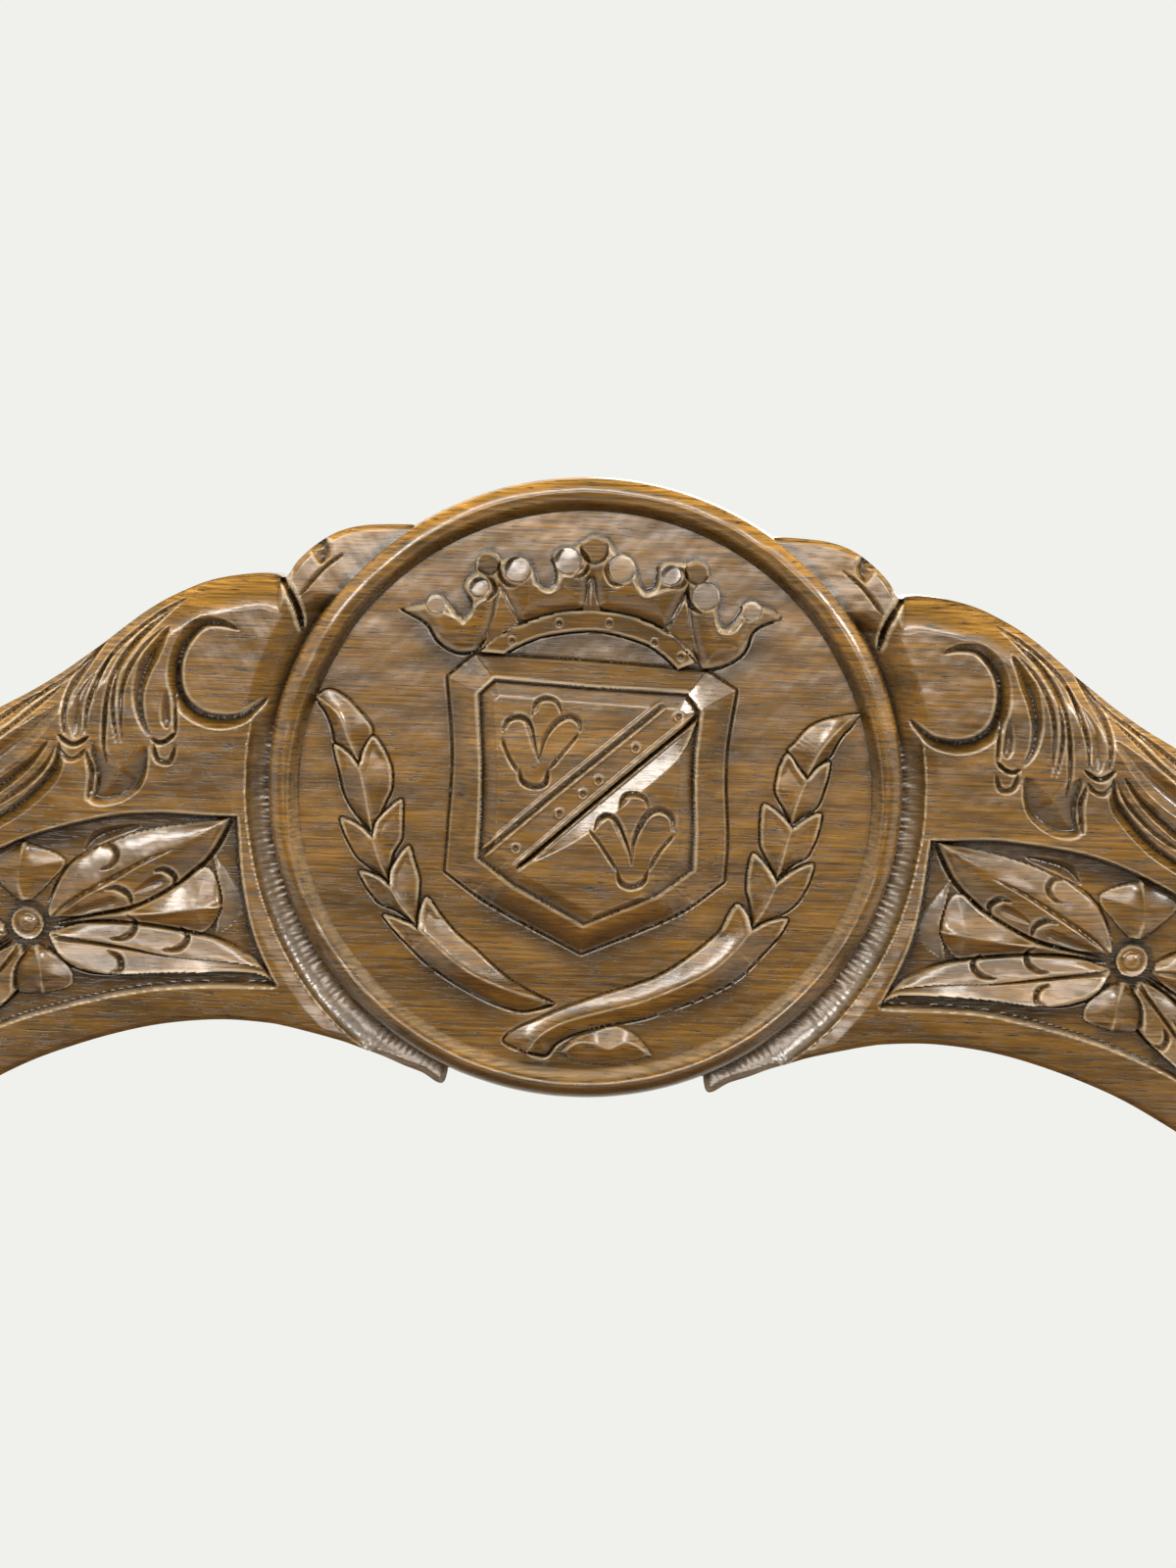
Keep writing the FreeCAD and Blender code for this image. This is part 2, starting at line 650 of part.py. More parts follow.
def boss(radius, knob, y, way):
    """Turned boss over a nut: a rolled rim, a hollow and a knob."""
    profile = [
        (0.0, radius - BOSS_RIM_EASE),
        (BOSS_RIM_EASE, radius),
        (BOSS_RIM, radius),
        (BOSS_RIM + BOSS_RIM_EASE, radius - BOSS_RIM_EASE),
        (BOSS_RIM + BOSS_RIM_EASE, radius - BOSS_RIM),
        (BOSS_HOLLOW_THICKNESS, knob + BOSS_KNOB_EASE),
        (BOSS_THICKNESS - BOSS_KNOB_EASE, knob),
        (BOSS_THICKNESS, knob * BOSS_KNOB_TOP_RADIUS / BOSS_KNOB_RADIUS),
    ]
    start = Vector(0, y, PIVOT_HEIGHT)
    body = turned(profile, start, ALONG_Y * way, ALONG_X)
    return body.cut(nut_block(NUT_CLEARANCE))


def front_boss():
    """Boss in the middle of the front crossing."""
    front = pivot_faces()[0]
    return boss(BOSS_RADIUS, BOSS_KNOB_RADIUS, front - WASHER_CLEARANCE - WASHER_THICKNESS, -1)


def rear_boss():
    """Smaller boss behind the rear crossing."""
    back = pivot_faces()[1]
    return boss(REAR_BOSS_RADIUS, REAR_BOSS_KNOB_RADIUS, back + WASHER_CLEARANCE + WASHER_THICKNESS, 1)


def turned_stretcher():
    """Turned spindle on the rod between the two crossings."""
    inset = 2 * WASHER_CLEARANCE + WASHER_THICKNESS
    near = BAY_FRONT + inset
    length = BAY_BACK - inset - near
    turnings = [
        (STRETCHER_COLLAR, STRETCHER_COLLAR_RADIUS),
        (STRETCHER_COVE, STRETCHER_NECK),
        (STRETCHER_RING, STRETCHER_NECK),
        (STRETCHER_COVE, STRETCHER_RING_RADIUS),
        (STRETCHER_RING, STRETCHER_RING_RADIUS),
        (STRETCHER_COVE, STRETCHER_NECK),
        (STRETCHER_RING, STRETCHER_NECK),
    ]
    half = [(0.0, STRETCHER_COLLAR_RADIUS)]
    for step, radius in turnings:
        half.append((half[-1][0] + step, radius))
    half.append((STRETCHER_BELLY_START, STRETCHER_BELLY_RADIUS))
    profile = half + [(length / 2, STRETCHER_RADIUS)] + [(length - y, r) for y, r in reversed(half)]
    body = turned(profile, Vector(0, near, PIVOT_HEIGHT), ALONG_Y, ALONG_X)
    return body.cut(disc(ROD_RADIUS + ROD_CLEARANCE, near, near + length, z=PIVOT_HEIGHT))


def crest_point(x, z):
    """Point on the crest's front face, from the roundel's centre."""
    return Vector(x, CREST_FRONT, CREST_Z + z)


def wing_outline():
    """Right wing of the crest: leaf, shoulder, long hollow, ear, foot and arched lower edge."""
    foot_z = -CREST_RISE + CREST_SEAT_GAP
    outer = ARM_X + ARM_WIDTH / 2 - PRONG_SHOULDER
    inner = outer - CREST_FOOT_WIDTH
    ear = crest_point(outer - CREST_EAR_RADIUS, -CREST_EAR_DROP)
    ear_start = polar(ear, CREST_EAR_RADIUS, CREST_EAR_START)
    ear_end = polar(ear, CREST_EAR_RADIUS, 0)
    waist = crest_point(outer - CREST_WAIST, (foot_z - CREST_EAR_DROP) / 2)
    knee = crest_point(inner, foot_z + CREST_KNEE_RISE)
    arch_end = crest_point(*ARCH_END)
    haunch = (arch_end + knee) / 2 + Vector(CREST_HAUNCH_BULGE, 0, CREST_HAUNCH_BULGE)
    top_tie = crest_point(0, HUB_TIE)
    low_tie = crest_point(0, -HUB_TIE)
    return [
        line(top_tie, crest_point(*LEAF_START)),
        curve(crest_point(*LEAF_START), crest_point(*LEAF_CROWN), crest_point(*SHOULDER_START)),
        curve(crest_point(*SHOULDER_START), crest_point(*SHOULDER_CROWN), crest_point(*SHOULDER_END)),
        curve(crest_point(*SHOULDER_END), crest_point(*HOLLOW_MIDDLE), ear_start),
        arc(ear, CREST_EAR_RADIUS, CREST_EAR_START, 0),
        curve(ear_end, waist, crest_point(outer, foot_z)),
        line(crest_point(outer, foot_z), crest_point(inner, foot_z)),
        line(crest_point(inner, foot_z), knee),
        curve(knee, haunch, arch_end),
        curve(arch_end, crest_point(*ARCH_CROWN), crest_point(*ARCH_START)),
        line(crest_point(*ARCH_START), low_tie),
        line(low_tie, top_tie),
    ]


def flower_panel():
    """Sunk panel in the right wing."""
    inner_top = crest_point(*PANEL_INNER_TOP)
    inner_low = crest_point(*PANEL_INNER_LOW)
    outer_top = crest_point(*PANEL_OUTER_TOP)
    outer_low = crest_point(*PANEL_OUTER_LOW)
    edges = [
        curve(inner_top, crest_point(*PANEL_TOP_MIDDLE), outer_top),
        curve(outer_top, crest_point(*PANEL_OUTER_MIDDLE), outer_low),
        curve(outer_low, crest_point(*PANEL_LOW_MIDDLE), inner_low),
        curve(inner_low, crest_point(*PANEL_INNER_MIDDLE), inner_top),
    ]
    return plate(edges, Vector(0, PANEL_DEPTH, 0))


def crest_prong():
    """Prong under the crest's right foot, in the arm's notch."""
    outer = ARM_X + ARM_WIDTH / 2 - PRONG_SHOULDER
    return block(
        outer - PRONG_WIDTH,
        outer,
        CREST_FRONT + PRONG_SHOULDER,
        CREST_BACK - PRONG_SHOULDER,
        ARM_UNDERSIDE,
        ARM_HEIGHT + PRONG_SHOULDER,
    )


def screw(index, grow=0.0):
    """Countersunk screw from behind the crest into the roundel."""
    spot = polar(Vector(0, 0, CREST_Z), SCREW_CIRCLE_RADIUS, SCREW_START_ANGLE + index * 360 / SCREW_COUNT)
    spot.y = CREST_BACK
    length = CREST_BACK - ROUNDEL_BACK + SCREW_BITE
    profile = [
        (0.0, SCREW_HEAD_RADIUS + grow),
        (SCREW_HEAD_DEPTH, SCREW_RADIUS + grow),
        (length + grow, SCREW_RADIUS + grow),
    ]
    return turned(profile, spot, -ALONG_Y, ALONG_X)


def screws():
    """Screws that hold the roundel."""
    return Part.makeCompound([screw(i) for i in range(SCREW_COUNT)])


def screw_holes():
    """Holes for those screws."""
    return [screw(i, SCREW_CLEARANCE) for i in range(SCREW_COUNT)]


def crest_rail():
    """Carved board across the back, in one piece from foot to foot."""
    wing = plate(wing_outline(), Vector(0, CREST_THICKNESS, 0))
    hub = disc(ROUNDEL_RADIUS - ROUNDEL_COVER, CREST_FRONT, CREST_BACK, z=CREST_Z)
    prong = crest_prong()
    board = wing.fuse([mirrored(wing), hub, prong, mirrored(prong)])
    seat = disc(ROUNDEL_RADIUS + ROUNDEL_CLEARANCE, CREST_FRONT, ROUNDEL_BACK, z=CREST_Z)
    cove_circle = ROUNDEL_RADIUS + COVE_RADIUS - COVE_OVERHANG
    cove = Part.makeTorus(cove_circle, COVE_RADIUS, Vector(0, CREST_FRONT, CREST_Z), ALONG_Y)
    panel = flower_panel()
    return board.cut([seat, cove, panel, mirrored(panel)] + screw_holes()).removeSplitter()


def shield_wire(share, rise):
    """Shield outline, shrunk to a share of its size, at a height over the roundel's field."""
    depth = ROUNDEL_FIELD - rise
    right = [SHIELD_TOP_CORNER, SHIELD_SHOULDER, SHIELD_WAIST, SHIELD_HIP]
    corner, shoulder, waist, hip = [Vector(x * share, depth, CREST_Z + z * share) for x, z in right]
    far = [Vector(-p.x, p.y, p.z) for p in (corner, shoulder, waist, hip)]
    point = Vector(SHIELD_POINT[0], depth, CREST_Z + SHIELD_POINT[1] * share)
    return Part.Wire([
        line(far[0], corner),
        line(corner, shoulder),
        curve(shoulder, waist, hip),
        line(hip, point),
        line(point, far[3]),
        curve(far[3], far[2], far[1]),
        line(far[1], far[0]),
    ])


def shield():
    """Raised shield: a frame that slopes up to a ridge, round a sunk field."""
    frame = Part.makeLoft([shield_wire(1.0, 0.0), shield_wire(SHIELD_RIDGE_SHARE, SHIELD_HEIGHT)], True, True)
    floor = SHIELD_HEIGHT - SHIELD_FIELD_SINK
    field = [shield_wire(SHIELD_FIELD_SHARE, floor), shield_wire(SHIELD_RIDGE_SHARE, SHIELD_HEIGHT)]
    return frame.cut(Part.makeLoft(field, True, True))


def ring_part(inner, outer, swing, height):
    """Part of a flat ring about the crown's centre, to both sides of upright."""
    centre = Vector(0, ROUNDEL_FIELD, CREST_Z - CROWN_DROP)
    edges = [
        arc(centre, outer, 90 - swing, 90 + swing),
        line(polar(centre, outer, 90 + swing), polar(centre, inner, 90 + swing)),
        arc(centre, inner, 90 + swing, 90 - swing),
        line(polar(centre, inner, 90 - swing), polar(centre, outer, 90 - swing)),
    ]
    return plate(edges, Vector(0, -height, 0))


def crown():
    """Raised crown: a bowed body with a row of balls along its top and a band under it."""
    centre = Vector(0, 0, CREST_Z - CROWN_DROP)
    pieces = [
        ring_part(CROWN_INNER_RADIUS, CROWN_OUTER_RADIUS, CROWN_SWING, CROWN_HEIGHT),
        ring_part(BAND_INNER_RADIUS, BAND_OUTER_RADIUS, BAND_SWING, BAND_HEIGHT),
    ]
    step = 2 * CROWN_BALL_SWING / (CROWN_BALL_COUNT - 1)
    for i in range(CROWN_BALL_COUNT):
        spot = polar(centre, CROWN_BALL_CIRCLE, 90 - CROWN_BALL_SWING + i * step)
        pieces.append(disc(CROWN_BALL_RADIUS, ROUNDEL_FIELD - CROWN_HEIGHT, ROUNDEL_FIELD, spot.x, spot.z))
    return pieces


def branch_leaf(angle, splay):
    """One pointed leaf of the left branch, from its stem out to its tip."""
    centre = Vector(0, ROUNDEL_FIELD, CREST_Z)
    base = polar(centre, BRANCH_RADIUS, angle)
    heading = angle - 90 + splay
    tip = polar(base, LEAF_LENGTH, heading)
    middle = polar(base, LEAF_LENGTH / 2, heading)
    near = polar(middle, LEAF_WIDTH / 2, heading - 90)
    far = polar(middle, LEAF_WIDTH / 2, heading + 90)
    return plate([curve(base, near, tip), curve(tip, far, base)], Vector(0, -LEAF_HEIGHT, 0))


def branches():
    """Leaves in pairs along both branches, which curve up beside the shield."""
    leaves = []
    for i in range(LEAF_PAIRS):
        for splay in (-LEAF_SPLAY, LEAF_SPLAY):
            leaf = branch_leaf(BRANCH_START + (i + 1) * BRANCH_STEP, splay)
            leaves += [leaf, mirrored(leaf)]
    return leaves


def crest_roundel():
    """Round carved boss of the crest: a rolled rim round a sunk field with shield, crown and branches."""
    top = ROUNDEL_THICKNESS
    rim_in = ROUNDEL_RADIUS - ROUNDEL_RIM
    rim_ease = ROUNDEL_PROUD * ROUND_CORNER
    profile = [
        (0.0, ROUNDEL_RADIUS),
        (top - ROUNDEL_PROUD, ROUNDEL_RADIUS),
        (top - rim_ease, ROUNDEL_RADIUS - rim_ease),
        (top, ROUNDEL_RADIUS - ROUNDEL_RIM / 2),
        (top - rim_ease, rim_in + rim_ease),
        (top - ROUNDEL_SUNK, rim_in),
    ]
    body = turned(profile, Vector(0, ROUNDEL_BACK, CREST_Z), -ALONG_Y, ALONG_X)
    body = body.fuse([shield()] + crown() + branches())
    return body.cut(screw_holes()).removeSplitter()


PIECES = {
    "pivot_rod": pivot_rod,
    "pivot_nuts": pivot_nuts,
    "pivot_washers": washers,
    "turned_stretcher": turned_stretcher,
    "front_boss": front_boss,
    "rear_boss": rear_boss,
    "seat_leather": seat_leather,
    "right_arm": arm,
    "right_arm_front_leg": lambda: leg(FRONT_LEG_Y, 1, -1),
    "right_arm_rear_leg": lambda: leg(REAR_LEG_Y, 1, 1),
    "right_seat_rail": seat_rail,
    "left_foot_runner": runner,
    "right_arm_pegs": lambda: pegs(arm_peg),
    "left_foot_pegs": lambda: pegs(foot_peg),
    "right_seat_nails": nails,
    "left_arm": lambda: mirrored(arm()),
    "left_arm_front_leg": lambda: mirrored(leg(FRONT_LEG_Y, -1, -1)),
    "left_arm_rear_leg": lambda: mirrored(leg(REAR_LEG_Y, -1, 1)),
    "left_seat_rail": lambda: mirrored(seat_rail()),
    "right_foot_runner": lambda: mirrored(runner()),
    "left_arm_pegs": lambda: mirrored(pegs(arm_peg)),
    "right_foot_pegs": lambda: mirrored(pegs(foot_peg)),
    "left_seat_nails": lambda: mirrored(nails()),
    "crest_rail": crest_rail,
    "crest_roundel": crest_roundel,
    "crest_screws": screws,
}

os.makedirs("parts", exist_ok=True)
for name, make in PIECES.items():
    shape = make()
    solids = shape.Solids
    shape.exportStep("parts/" + name + ".step")
    print(name, len(solids), "solids", shape.isValid(), round(shape.Volume / 1000, 1), "cm3")
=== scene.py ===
"""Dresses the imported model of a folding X-frame armchair with a carved crest rail."""
import logging
import math
from dataclasses import dataclass, field, replace
from enum import Enum
from typing import Callable, Iterable, Sequence

import bpy
import numpy as np
from mathutils import Matrix, Vector

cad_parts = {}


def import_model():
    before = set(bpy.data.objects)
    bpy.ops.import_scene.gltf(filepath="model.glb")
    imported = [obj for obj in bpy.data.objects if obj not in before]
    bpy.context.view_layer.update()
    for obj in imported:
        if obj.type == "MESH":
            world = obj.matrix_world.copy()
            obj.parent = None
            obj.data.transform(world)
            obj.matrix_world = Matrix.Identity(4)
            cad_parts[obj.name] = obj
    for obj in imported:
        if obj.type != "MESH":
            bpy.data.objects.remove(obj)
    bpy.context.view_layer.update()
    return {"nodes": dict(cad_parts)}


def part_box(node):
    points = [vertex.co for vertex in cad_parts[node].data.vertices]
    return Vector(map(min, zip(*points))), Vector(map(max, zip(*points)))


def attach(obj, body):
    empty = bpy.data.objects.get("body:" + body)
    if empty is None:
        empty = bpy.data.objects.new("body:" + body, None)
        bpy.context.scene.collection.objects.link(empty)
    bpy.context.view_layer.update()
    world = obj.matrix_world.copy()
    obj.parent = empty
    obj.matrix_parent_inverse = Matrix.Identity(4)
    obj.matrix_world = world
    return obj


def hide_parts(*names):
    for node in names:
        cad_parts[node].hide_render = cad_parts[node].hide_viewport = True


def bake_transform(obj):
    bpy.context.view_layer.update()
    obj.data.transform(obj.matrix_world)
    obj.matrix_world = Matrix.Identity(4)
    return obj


LOG = logging.getLogger("chair")
MM = 0.001
TINY = 1e-6
SMOOTH_ANGLE = math.radians(50)
SWELL_WAVES = 9
Point = tuple[float, float]
Line = np.ndarray
Path = Sequence[Point] | Line
Swell = tuple[float, float, int]


def linear(hex_colour: str) -> tuple[float, float, float, float]:
    """Turns an sRGB hex colour into linear RGBA.

    Args:
        hex_colour: Colour such as "#8a6a42".

    Returns:
        Linear red, green, blue and full alpha.
    """
    parts = [int(hex_colour[i:i + 2], 16) / 255 for i in (1, 3, 5)]
    flat = [p / 12.92 if p <= 0.04045 else ((p + 0.055) / 1.055) ** 2.4 for p in parts]
    return flat[0], flat[1], flat[2], 1.0


def add_node(tree: bpy.types.NodeTree, kind: str, sockets: dict | None = None, **settings) -> bpy.types.Node:
    """Adds a node with its settings and links.

    Args:
        tree: Node tree that gets the node.
        kind: Node type.
        sockets: Input name or number, with a value or an output socket to link.
        settings: Properties of the node itself.

    Returns:
        The new node.
    """
    made = tree.nodes.new(kind)
    for name, value in settings.items():
        setattr(made, name, value)
    for name, value in (sockets or {}).items():
        if isinstance(value, bpy.types.NodeSocket):
            tree.links.new(value, made.inputs[name])
        else:
            made.inputs[name].default_value = value
    return made


def start_material(name: str) -> tuple[bpy.types.Material, bpy.types.NodeTree]:
    """Starts a material with an empty node tree.

    Args:
        name: Name of the real material.

    Returns:
        The material and its node tree.
    """
    material = bpy.data.materials.new(name)
    material.use_nodes = True
    material.node_tree.nodes.clear()
    return material, material.node_tree


def smooth_line(points: Path, steps: int = 8, closed: bool = False) -> Line:
    """Runs a smooth line through given points.

    Args:
        points: Places that the line passes through.
        steps: Pieces between two places.
        closed: Whether the line comes back to its start.

    Returns:
        Points along the line, one a row.
    """
    p = np.asarray(points, float)
    if len(p) == 2:
        return p
    if closed:
        ext = np.vstack([p[-1:], p, p[:2]])
    else:
        ext = np.vstack([2 * p[0] - p[1], p, 2 * p[-1] - p[-2]])
    t = np.linspace(0, 1, steps, endpoint=False)[:, None]
    runs = []
    for a, b, c, d in zip(ext[:-3], ext[1:-2], ext[2:-1], ext[3:]):
        bend = (2 * a - 5 * b + 4 * c - d) * t ** 2 + (3 * b - a - 3 * c + d) * t ** 3
        runs.append(0.5 * (2 * b + (c - a) * t + bend))
    return np.vstack(runs + [p[:1] if closed else p[-1:]])


def ripple(x: np.ndarray, z: np.ndarray, size: float, seed: int) -> np.ndarray:
    """Gives a soft hand-made unevenness over a face, from -1 to 1.

    Args:
        x: Places across, in mm.
        z: Places up, in mm.
        size: Width of a swell, in mm.
        seed: Which pattern.

    Returns:
        Unevenness at each place.
    """
    rng = np.random.default_rng(seed)
    total = np.zeros_like(x)
    for angle, phase, stretch in zip(*rng.random((3, SWELL_WAVES))):
        wave = math.tau / (size * (0.6 + stretch))
        along = x * math.cos(math.tau * angle) + z * math.sin(math.tau * angle)
        total += np.sin(wave * along + math.tau * phase)
    return total / (SWELL_WAVES / 2)


def uneven(x: np.ndarray, z: np.ndarray, swells: Iterable[Swell]) -> np.ndarray:
    """Adds up swells over a face, each with its height and width in mm and the number of its pattern."""
    return sum(height * ripple(x, z, size, seed) for height, size, seed in swells)


@dataclass(frozen=True)
class CrestView:
    """Where the photograph shows the crest: pixels on its face, turned to mm from the roundel's centre."""

    centre: Point = (597.5, 808.0)
    mm_per_pixel: float = 0.30
    roll: float = math.radians(2.0)
    frame: Point = (1200.0, 1600.0)

    def mm(self, points: Iterable[Point]) -> list[Point]:
        """Turns pixels into mm across and up from the roundel's centre.

        Args:
            points: Places in pixels.

        Returns:
            Places in mm.
        """
        c, s = math.cos(self.roll), math.sin(self.roll)
        out = []
        for px, py in points:
            dx, dy = px - self.centre[0], py - self.centre[1]
            out.append(((c * dx + s * dy) * self.mm_per_pixel, (s * dx - c * dy) * self.mm_per_pixel))
        return out

    def wing_mm(self, points: Iterable[Point]) -> list[Point]:
        """Turns pixels of the left wing into mm outwards and up."""
        return [(-x, z) for x, z in self.mm(points)]


VIEW = CrestView()


class Profile(Enum):
    """Shape of a gouge's cut across."""

    VEE = "vee"
    ROUND = "round"


@dataclass(frozen=True)
class Stroke:
    """One pass of a carving tool along a line; a negative depth leaves a ridge."""

    path: Path
    width: float
    depth: float
    lean: float = 0.0
    ease: Point = (0.3, 0.3)
    profile: Profile = Profile.VEE

    def along(self, path: Path, vigour: float = 1.0, flip: float = 1.0) -> "Stroke":
        """Leads the same tool along another line.

        Args:
            path: The other line.
            vigour: How many times deeper it cuts there.
            flip: -1 where the line is mirrored, so that the tool leans the other way.

        Returns:
            The other stroke.
        """
        return replace(self, path=path, depth=self.depth * vigour, lean=self.lean * flip)


@dataclass(frozen=True)
class Facet:
    """A sloped face between two lines that start and end together, with its height and fall in mm."""

    hinge: Path
    edge: Path
    level: float
    drop: float
    power: float = 1.0


class Relief:
    """A carved face: how far each place stands in front of the board, in mm."""

    cut_depth: float = 0.55
    arris_height: float = 0.42
    hollow_depth: float = 1.8

    def __init__(self, x: np.ndarray, z: np.ndarray) -> None:
        """Starts a flat face at the given places, in mm.

        Args:
            x: Places across.
            z: Places up.
        """
        self.x = x
        self.z = z
        self.h = np.zeros_like(x)

    def near(self, line: Line, reach: float) -> np.ndarray:
        """Gives the numbers of the places within reach of a line's box.

        Args:
            line: The line.
            reach: How far round its box.

        Returns:
            Numbers of the places.
        """
        lo, hi = line.min(0) - reach, line.max(0) + reach
        kept = (self.x > lo[0]) & (self.x < hi[0]) & (self.z > lo[1]) & (self.z < hi[1])
        return np.nonzero(kept)[0]

    def offset(self, at: np.ndarray, line: Line) -> tuple[np.ndarray, np.ndarray, np.ndarray]:
        """Measures places against a line.

        Args:
            at: Numbers of the places.
            line: The line.

        Returns:
            Distance to the line, share of its length, and side (1 left, -1 right).
        """
        p = np.stack([self.x[at], self.z[at]], 1)
        runs = np.linalg.norm(np.diff(line, axis=0), axis=1)
        ends = np.concatenate([[0.0], np.cumsum(runs)])
        best = np.full(len(p), 1e9)
        along = np.zeros(len(p))
        side = np.ones(len(p))
        for start, stop, run, done in zip(line[:-1], line[1:], runs, ends):
            if run == 0:
                continue
            way = (stop - start) / run
            q = p - start
            t = np.clip(q @ way, 0, run)
            gap = q - t[:, None] * way
            dist = np.hypot(gap[:, 0], gap[:, 1])
            closer = dist < best
            best[closer] = dist[closer]
            along[closer] = (done + t[closer]) / ends[-1]
            side[closer] = np.where(way[0] * q[closer, 1] > way[1] * q[closer, 0], 1.0, -1.0)
        return best, along, side

    def within(self, at: np.ndarray, outline: Line) -> np.ndarray:
        """Says which places lie inside a closed outline.

        Args:
            at: Numbers of the places.
            outline: The outline.

        Returns:
            Whether each lies inside.
        """
        x, z = self.x[at], self.z[at]
        inside = np.zeros(len(at), bool)
        for (x0, z0), (x1, z1) in zip(outline, np.roll(outline, -1, 0)):
            if z0 != z1:
                crosses = (z0 > z) != (z1 > z)
                inside ^= crosses & (x < (x1 - x0) * (z - z0) / (z1 - z0) + x0)
        return inside

    def inside(self, outline: Line) -> np.ndarray:
        """Gives the numbers of the places inside a closed outline."""
        at = self.near(outline, 0.0)
        return at[self.within(at, outline)]

    def carve(self, stroke: Stroke) -> None:
        """Cuts one stroke into the face.

        Args:
            stroke: The stroke, with its path in mm.
        """
        line = smooth_line(stroke.path)
        at = self.near(line, stroke.width)
        dist, along, side = self.offset(at, line)
        start, stop = [max(length, TINY) for length in stroke.ease]
        grow = np.sqrt(np.clip(along / start, 0, 1) * np.clip((1 - along) / stop, 0, 1))
        half = stroke.width / 2 * (1 + stroke.lean * side) * grow + TINY
        share = np.clip(1 - dist / half, 0, 1)
        if stroke.profile is Profile.ROUND:
            share = np.sin(share * math.pi / 2) ** 1.3
        self.h[at] -= stroke.depth * grow * share

    def plate(self, outline: Line, level: float, slope: float) -> None:
        """Brings the inside of an outline to one level, with a sloped wall.

        Args:
            outline: The outline.
            level: Height of the plate.
            slope: Width of the wall.
        """
        at = self.inside(outline)
        dist = self.offset(at, np.vstack([outline, outline[:1]]))[0]
        share = np.clip(dist / slope, 0, 1)
        self.h[at] += (level - self.h[at]) * share

    def facet(self, hinge: Line, edge: Line, level: float, drop: float, power: float = 1.0) -> None:
        """Sets a sloped face between two lines that start and end together.

        Args:
            hinge: The line along the top of the slope.
            edge: The line along its foot.
            level: Height at the hinge.
            drop: How far the foot lies lower; below 0 it lies higher.
            power: 1 for a flat face, below 1 for a hollow one, above 1 for a full one.
        """
        at = self.inside(np.vstack([hinge, edge[::-1]]))
        high = self.offset(at, hinge)[0]
        low = self.offset(at, edge)[0]
        share = high / (high + low + TINY)
        self.h[at] = level - drop * share ** power

    def disc(self, centre: Point, radius: float, level: float, dome: float = 0.0,
             tilt: Point = (0.0, 0.0)) -> None:
        """Sets a round face.

        Args:
            centre: Middle of the disc.
            radius: Its radius.
            level: Height at its edge.
            dome: How far its middle stands higher.
            tilt: Rise per mm across and up.
        """
        dx, dz = self.x - centre[0], self.z - centre[1]
        at = np.nonzero(dx * dx + dz * dz < radius * radius)[0]
        share = 1 - (dx[at] ** 2 + dz[at] ** 2) / radius ** 2
        self.h[at] = level + dome * np.sqrt(share) + tilt[0] * dx[at] + tilt[1] * dz[at]

    def above(self, columns: int, spread: int) -> np.ndarray:
        """Measures how far each place stands above the mean of its surroundings.

        Args:
            columns: Places in a row of the grid.
            spread: Half width of the surroundings, in places.

        Returns:
            Height over the surroundings, in mm.
        """
        grid = self.h.reshape(-1, columns)
        mean = grid
        for axis in (0, 1):
            pad = [(spread + 1, spread) if a == axis else (0, 0) for a in (0, 1)]
            total = np.cumsum(np.pad(mean, pad, mode="edge"), axis=axis)
            width = 2 * spread + 1
            top = np.take(total, range(width, total.shape[axis]), axis=axis)
            mean = (top - np.take(total, range(0, total.shape[axis] - width), axis=axis)) / width
        return (grid - mean).ravel()

    def wear(self, columns: int, near: int, wide: int) -> dict[str, np.ndarray]:
        """Finds where the cuts take staining and painted shade, where edges wear light and take painted
        highlights, and where painted shadow falls under raised parts.

        Args:
            columns: Places in a row of the grid.
            near: Half width of a cut, in places.
            wide: Half width of a hollow, in places.

        Returns:
            Depth in the cuts, height of the arrises and depth under raised parts, the last a painted shadow,
            each from 0 to 1.
        """
        fine = self.above(columns, near)
        # Painted shadow: the mean height of the surroundings above each place, so that places below raised
        # relief get darker.
        around = (self.h - self.above(columns, wide)).reshape(-1, columns)
        over = np.concatenate([around[wide:], np.repeat(around[-1:], wide, axis=0)]).ravel()
        # The cut mask darkens with staining and painted shade, the mask for the arrises lightens with wear
        # and painted highlights, and the hollow mask is painted shadow.
        return {"stain_and_shade_mask": np.clip(-fine / self.cut_depth, 0, 1),
                "arris_wear_and_highlight": np.clip(fine / self.arris_height, 0, 1),
                "hollow": np.clip((over - self.h) / self.hollow_depth, 0, 1)}


# The lines of the roundel and of the left wing, placed over the photograph, in its pixels.
CROWN_CUPS = [
    [(438, 621), (454, 627), (475, 634), (482, 627), (488, 618), (499, 611)],
    [(544, 584), (548, 597), (554, 604), (562, 606), (570, 601), (575, 590), (586, 590), (596, 583),
     (601, 574)],
    [(644, 587), (647, 596), (654, 608), (662, 610), (674, 606), (691, 600), (702, 591)],
    [(730, 632), (733, 645), (741, 648), (751, 646), (758, 637), (762, 631), (776, 629)],
]
CROWN_NOTCHES = [
    [(457, 609), (463, 620), (466, 629), (474, 631), (481, 625), (484, 613), (476, 604), (470, 596)],
    [(545, 574), (547, 592), (553, 600), (561, 602), (569, 596), (570, 580), (563, 568)],
    [(650, 578), (651, 594), (656, 604), (663, 606), (671, 601), (674, 584), (671, 577)],
    [(734, 616), (732, 632), (737, 642), (744, 643), (753, 635), (760, 621), (752, 612)],
]
CROWN_BALLS = [
    ((446, 617), 10, (0.0, 0.15)), ((490, 600), 10, (0.15, 0.3)), ((529, 582), 13.5, (0.23, 0.25)),
    ((580, 573), 13.5, (0.23, 0.25)), ((634.5, 581), 14, (0.0, 0.14)), ((685, 588), 10, (0.15, 0.22)),
    ((720.5, 609), 14, (0.0, 0.14)), ((767, 624), 10, (0.0, 0.15)),
]
CROWN_KNOBS = [((499, 575), 12.5), ((607, 562), 14.5), ((711, 585), 12.5)]
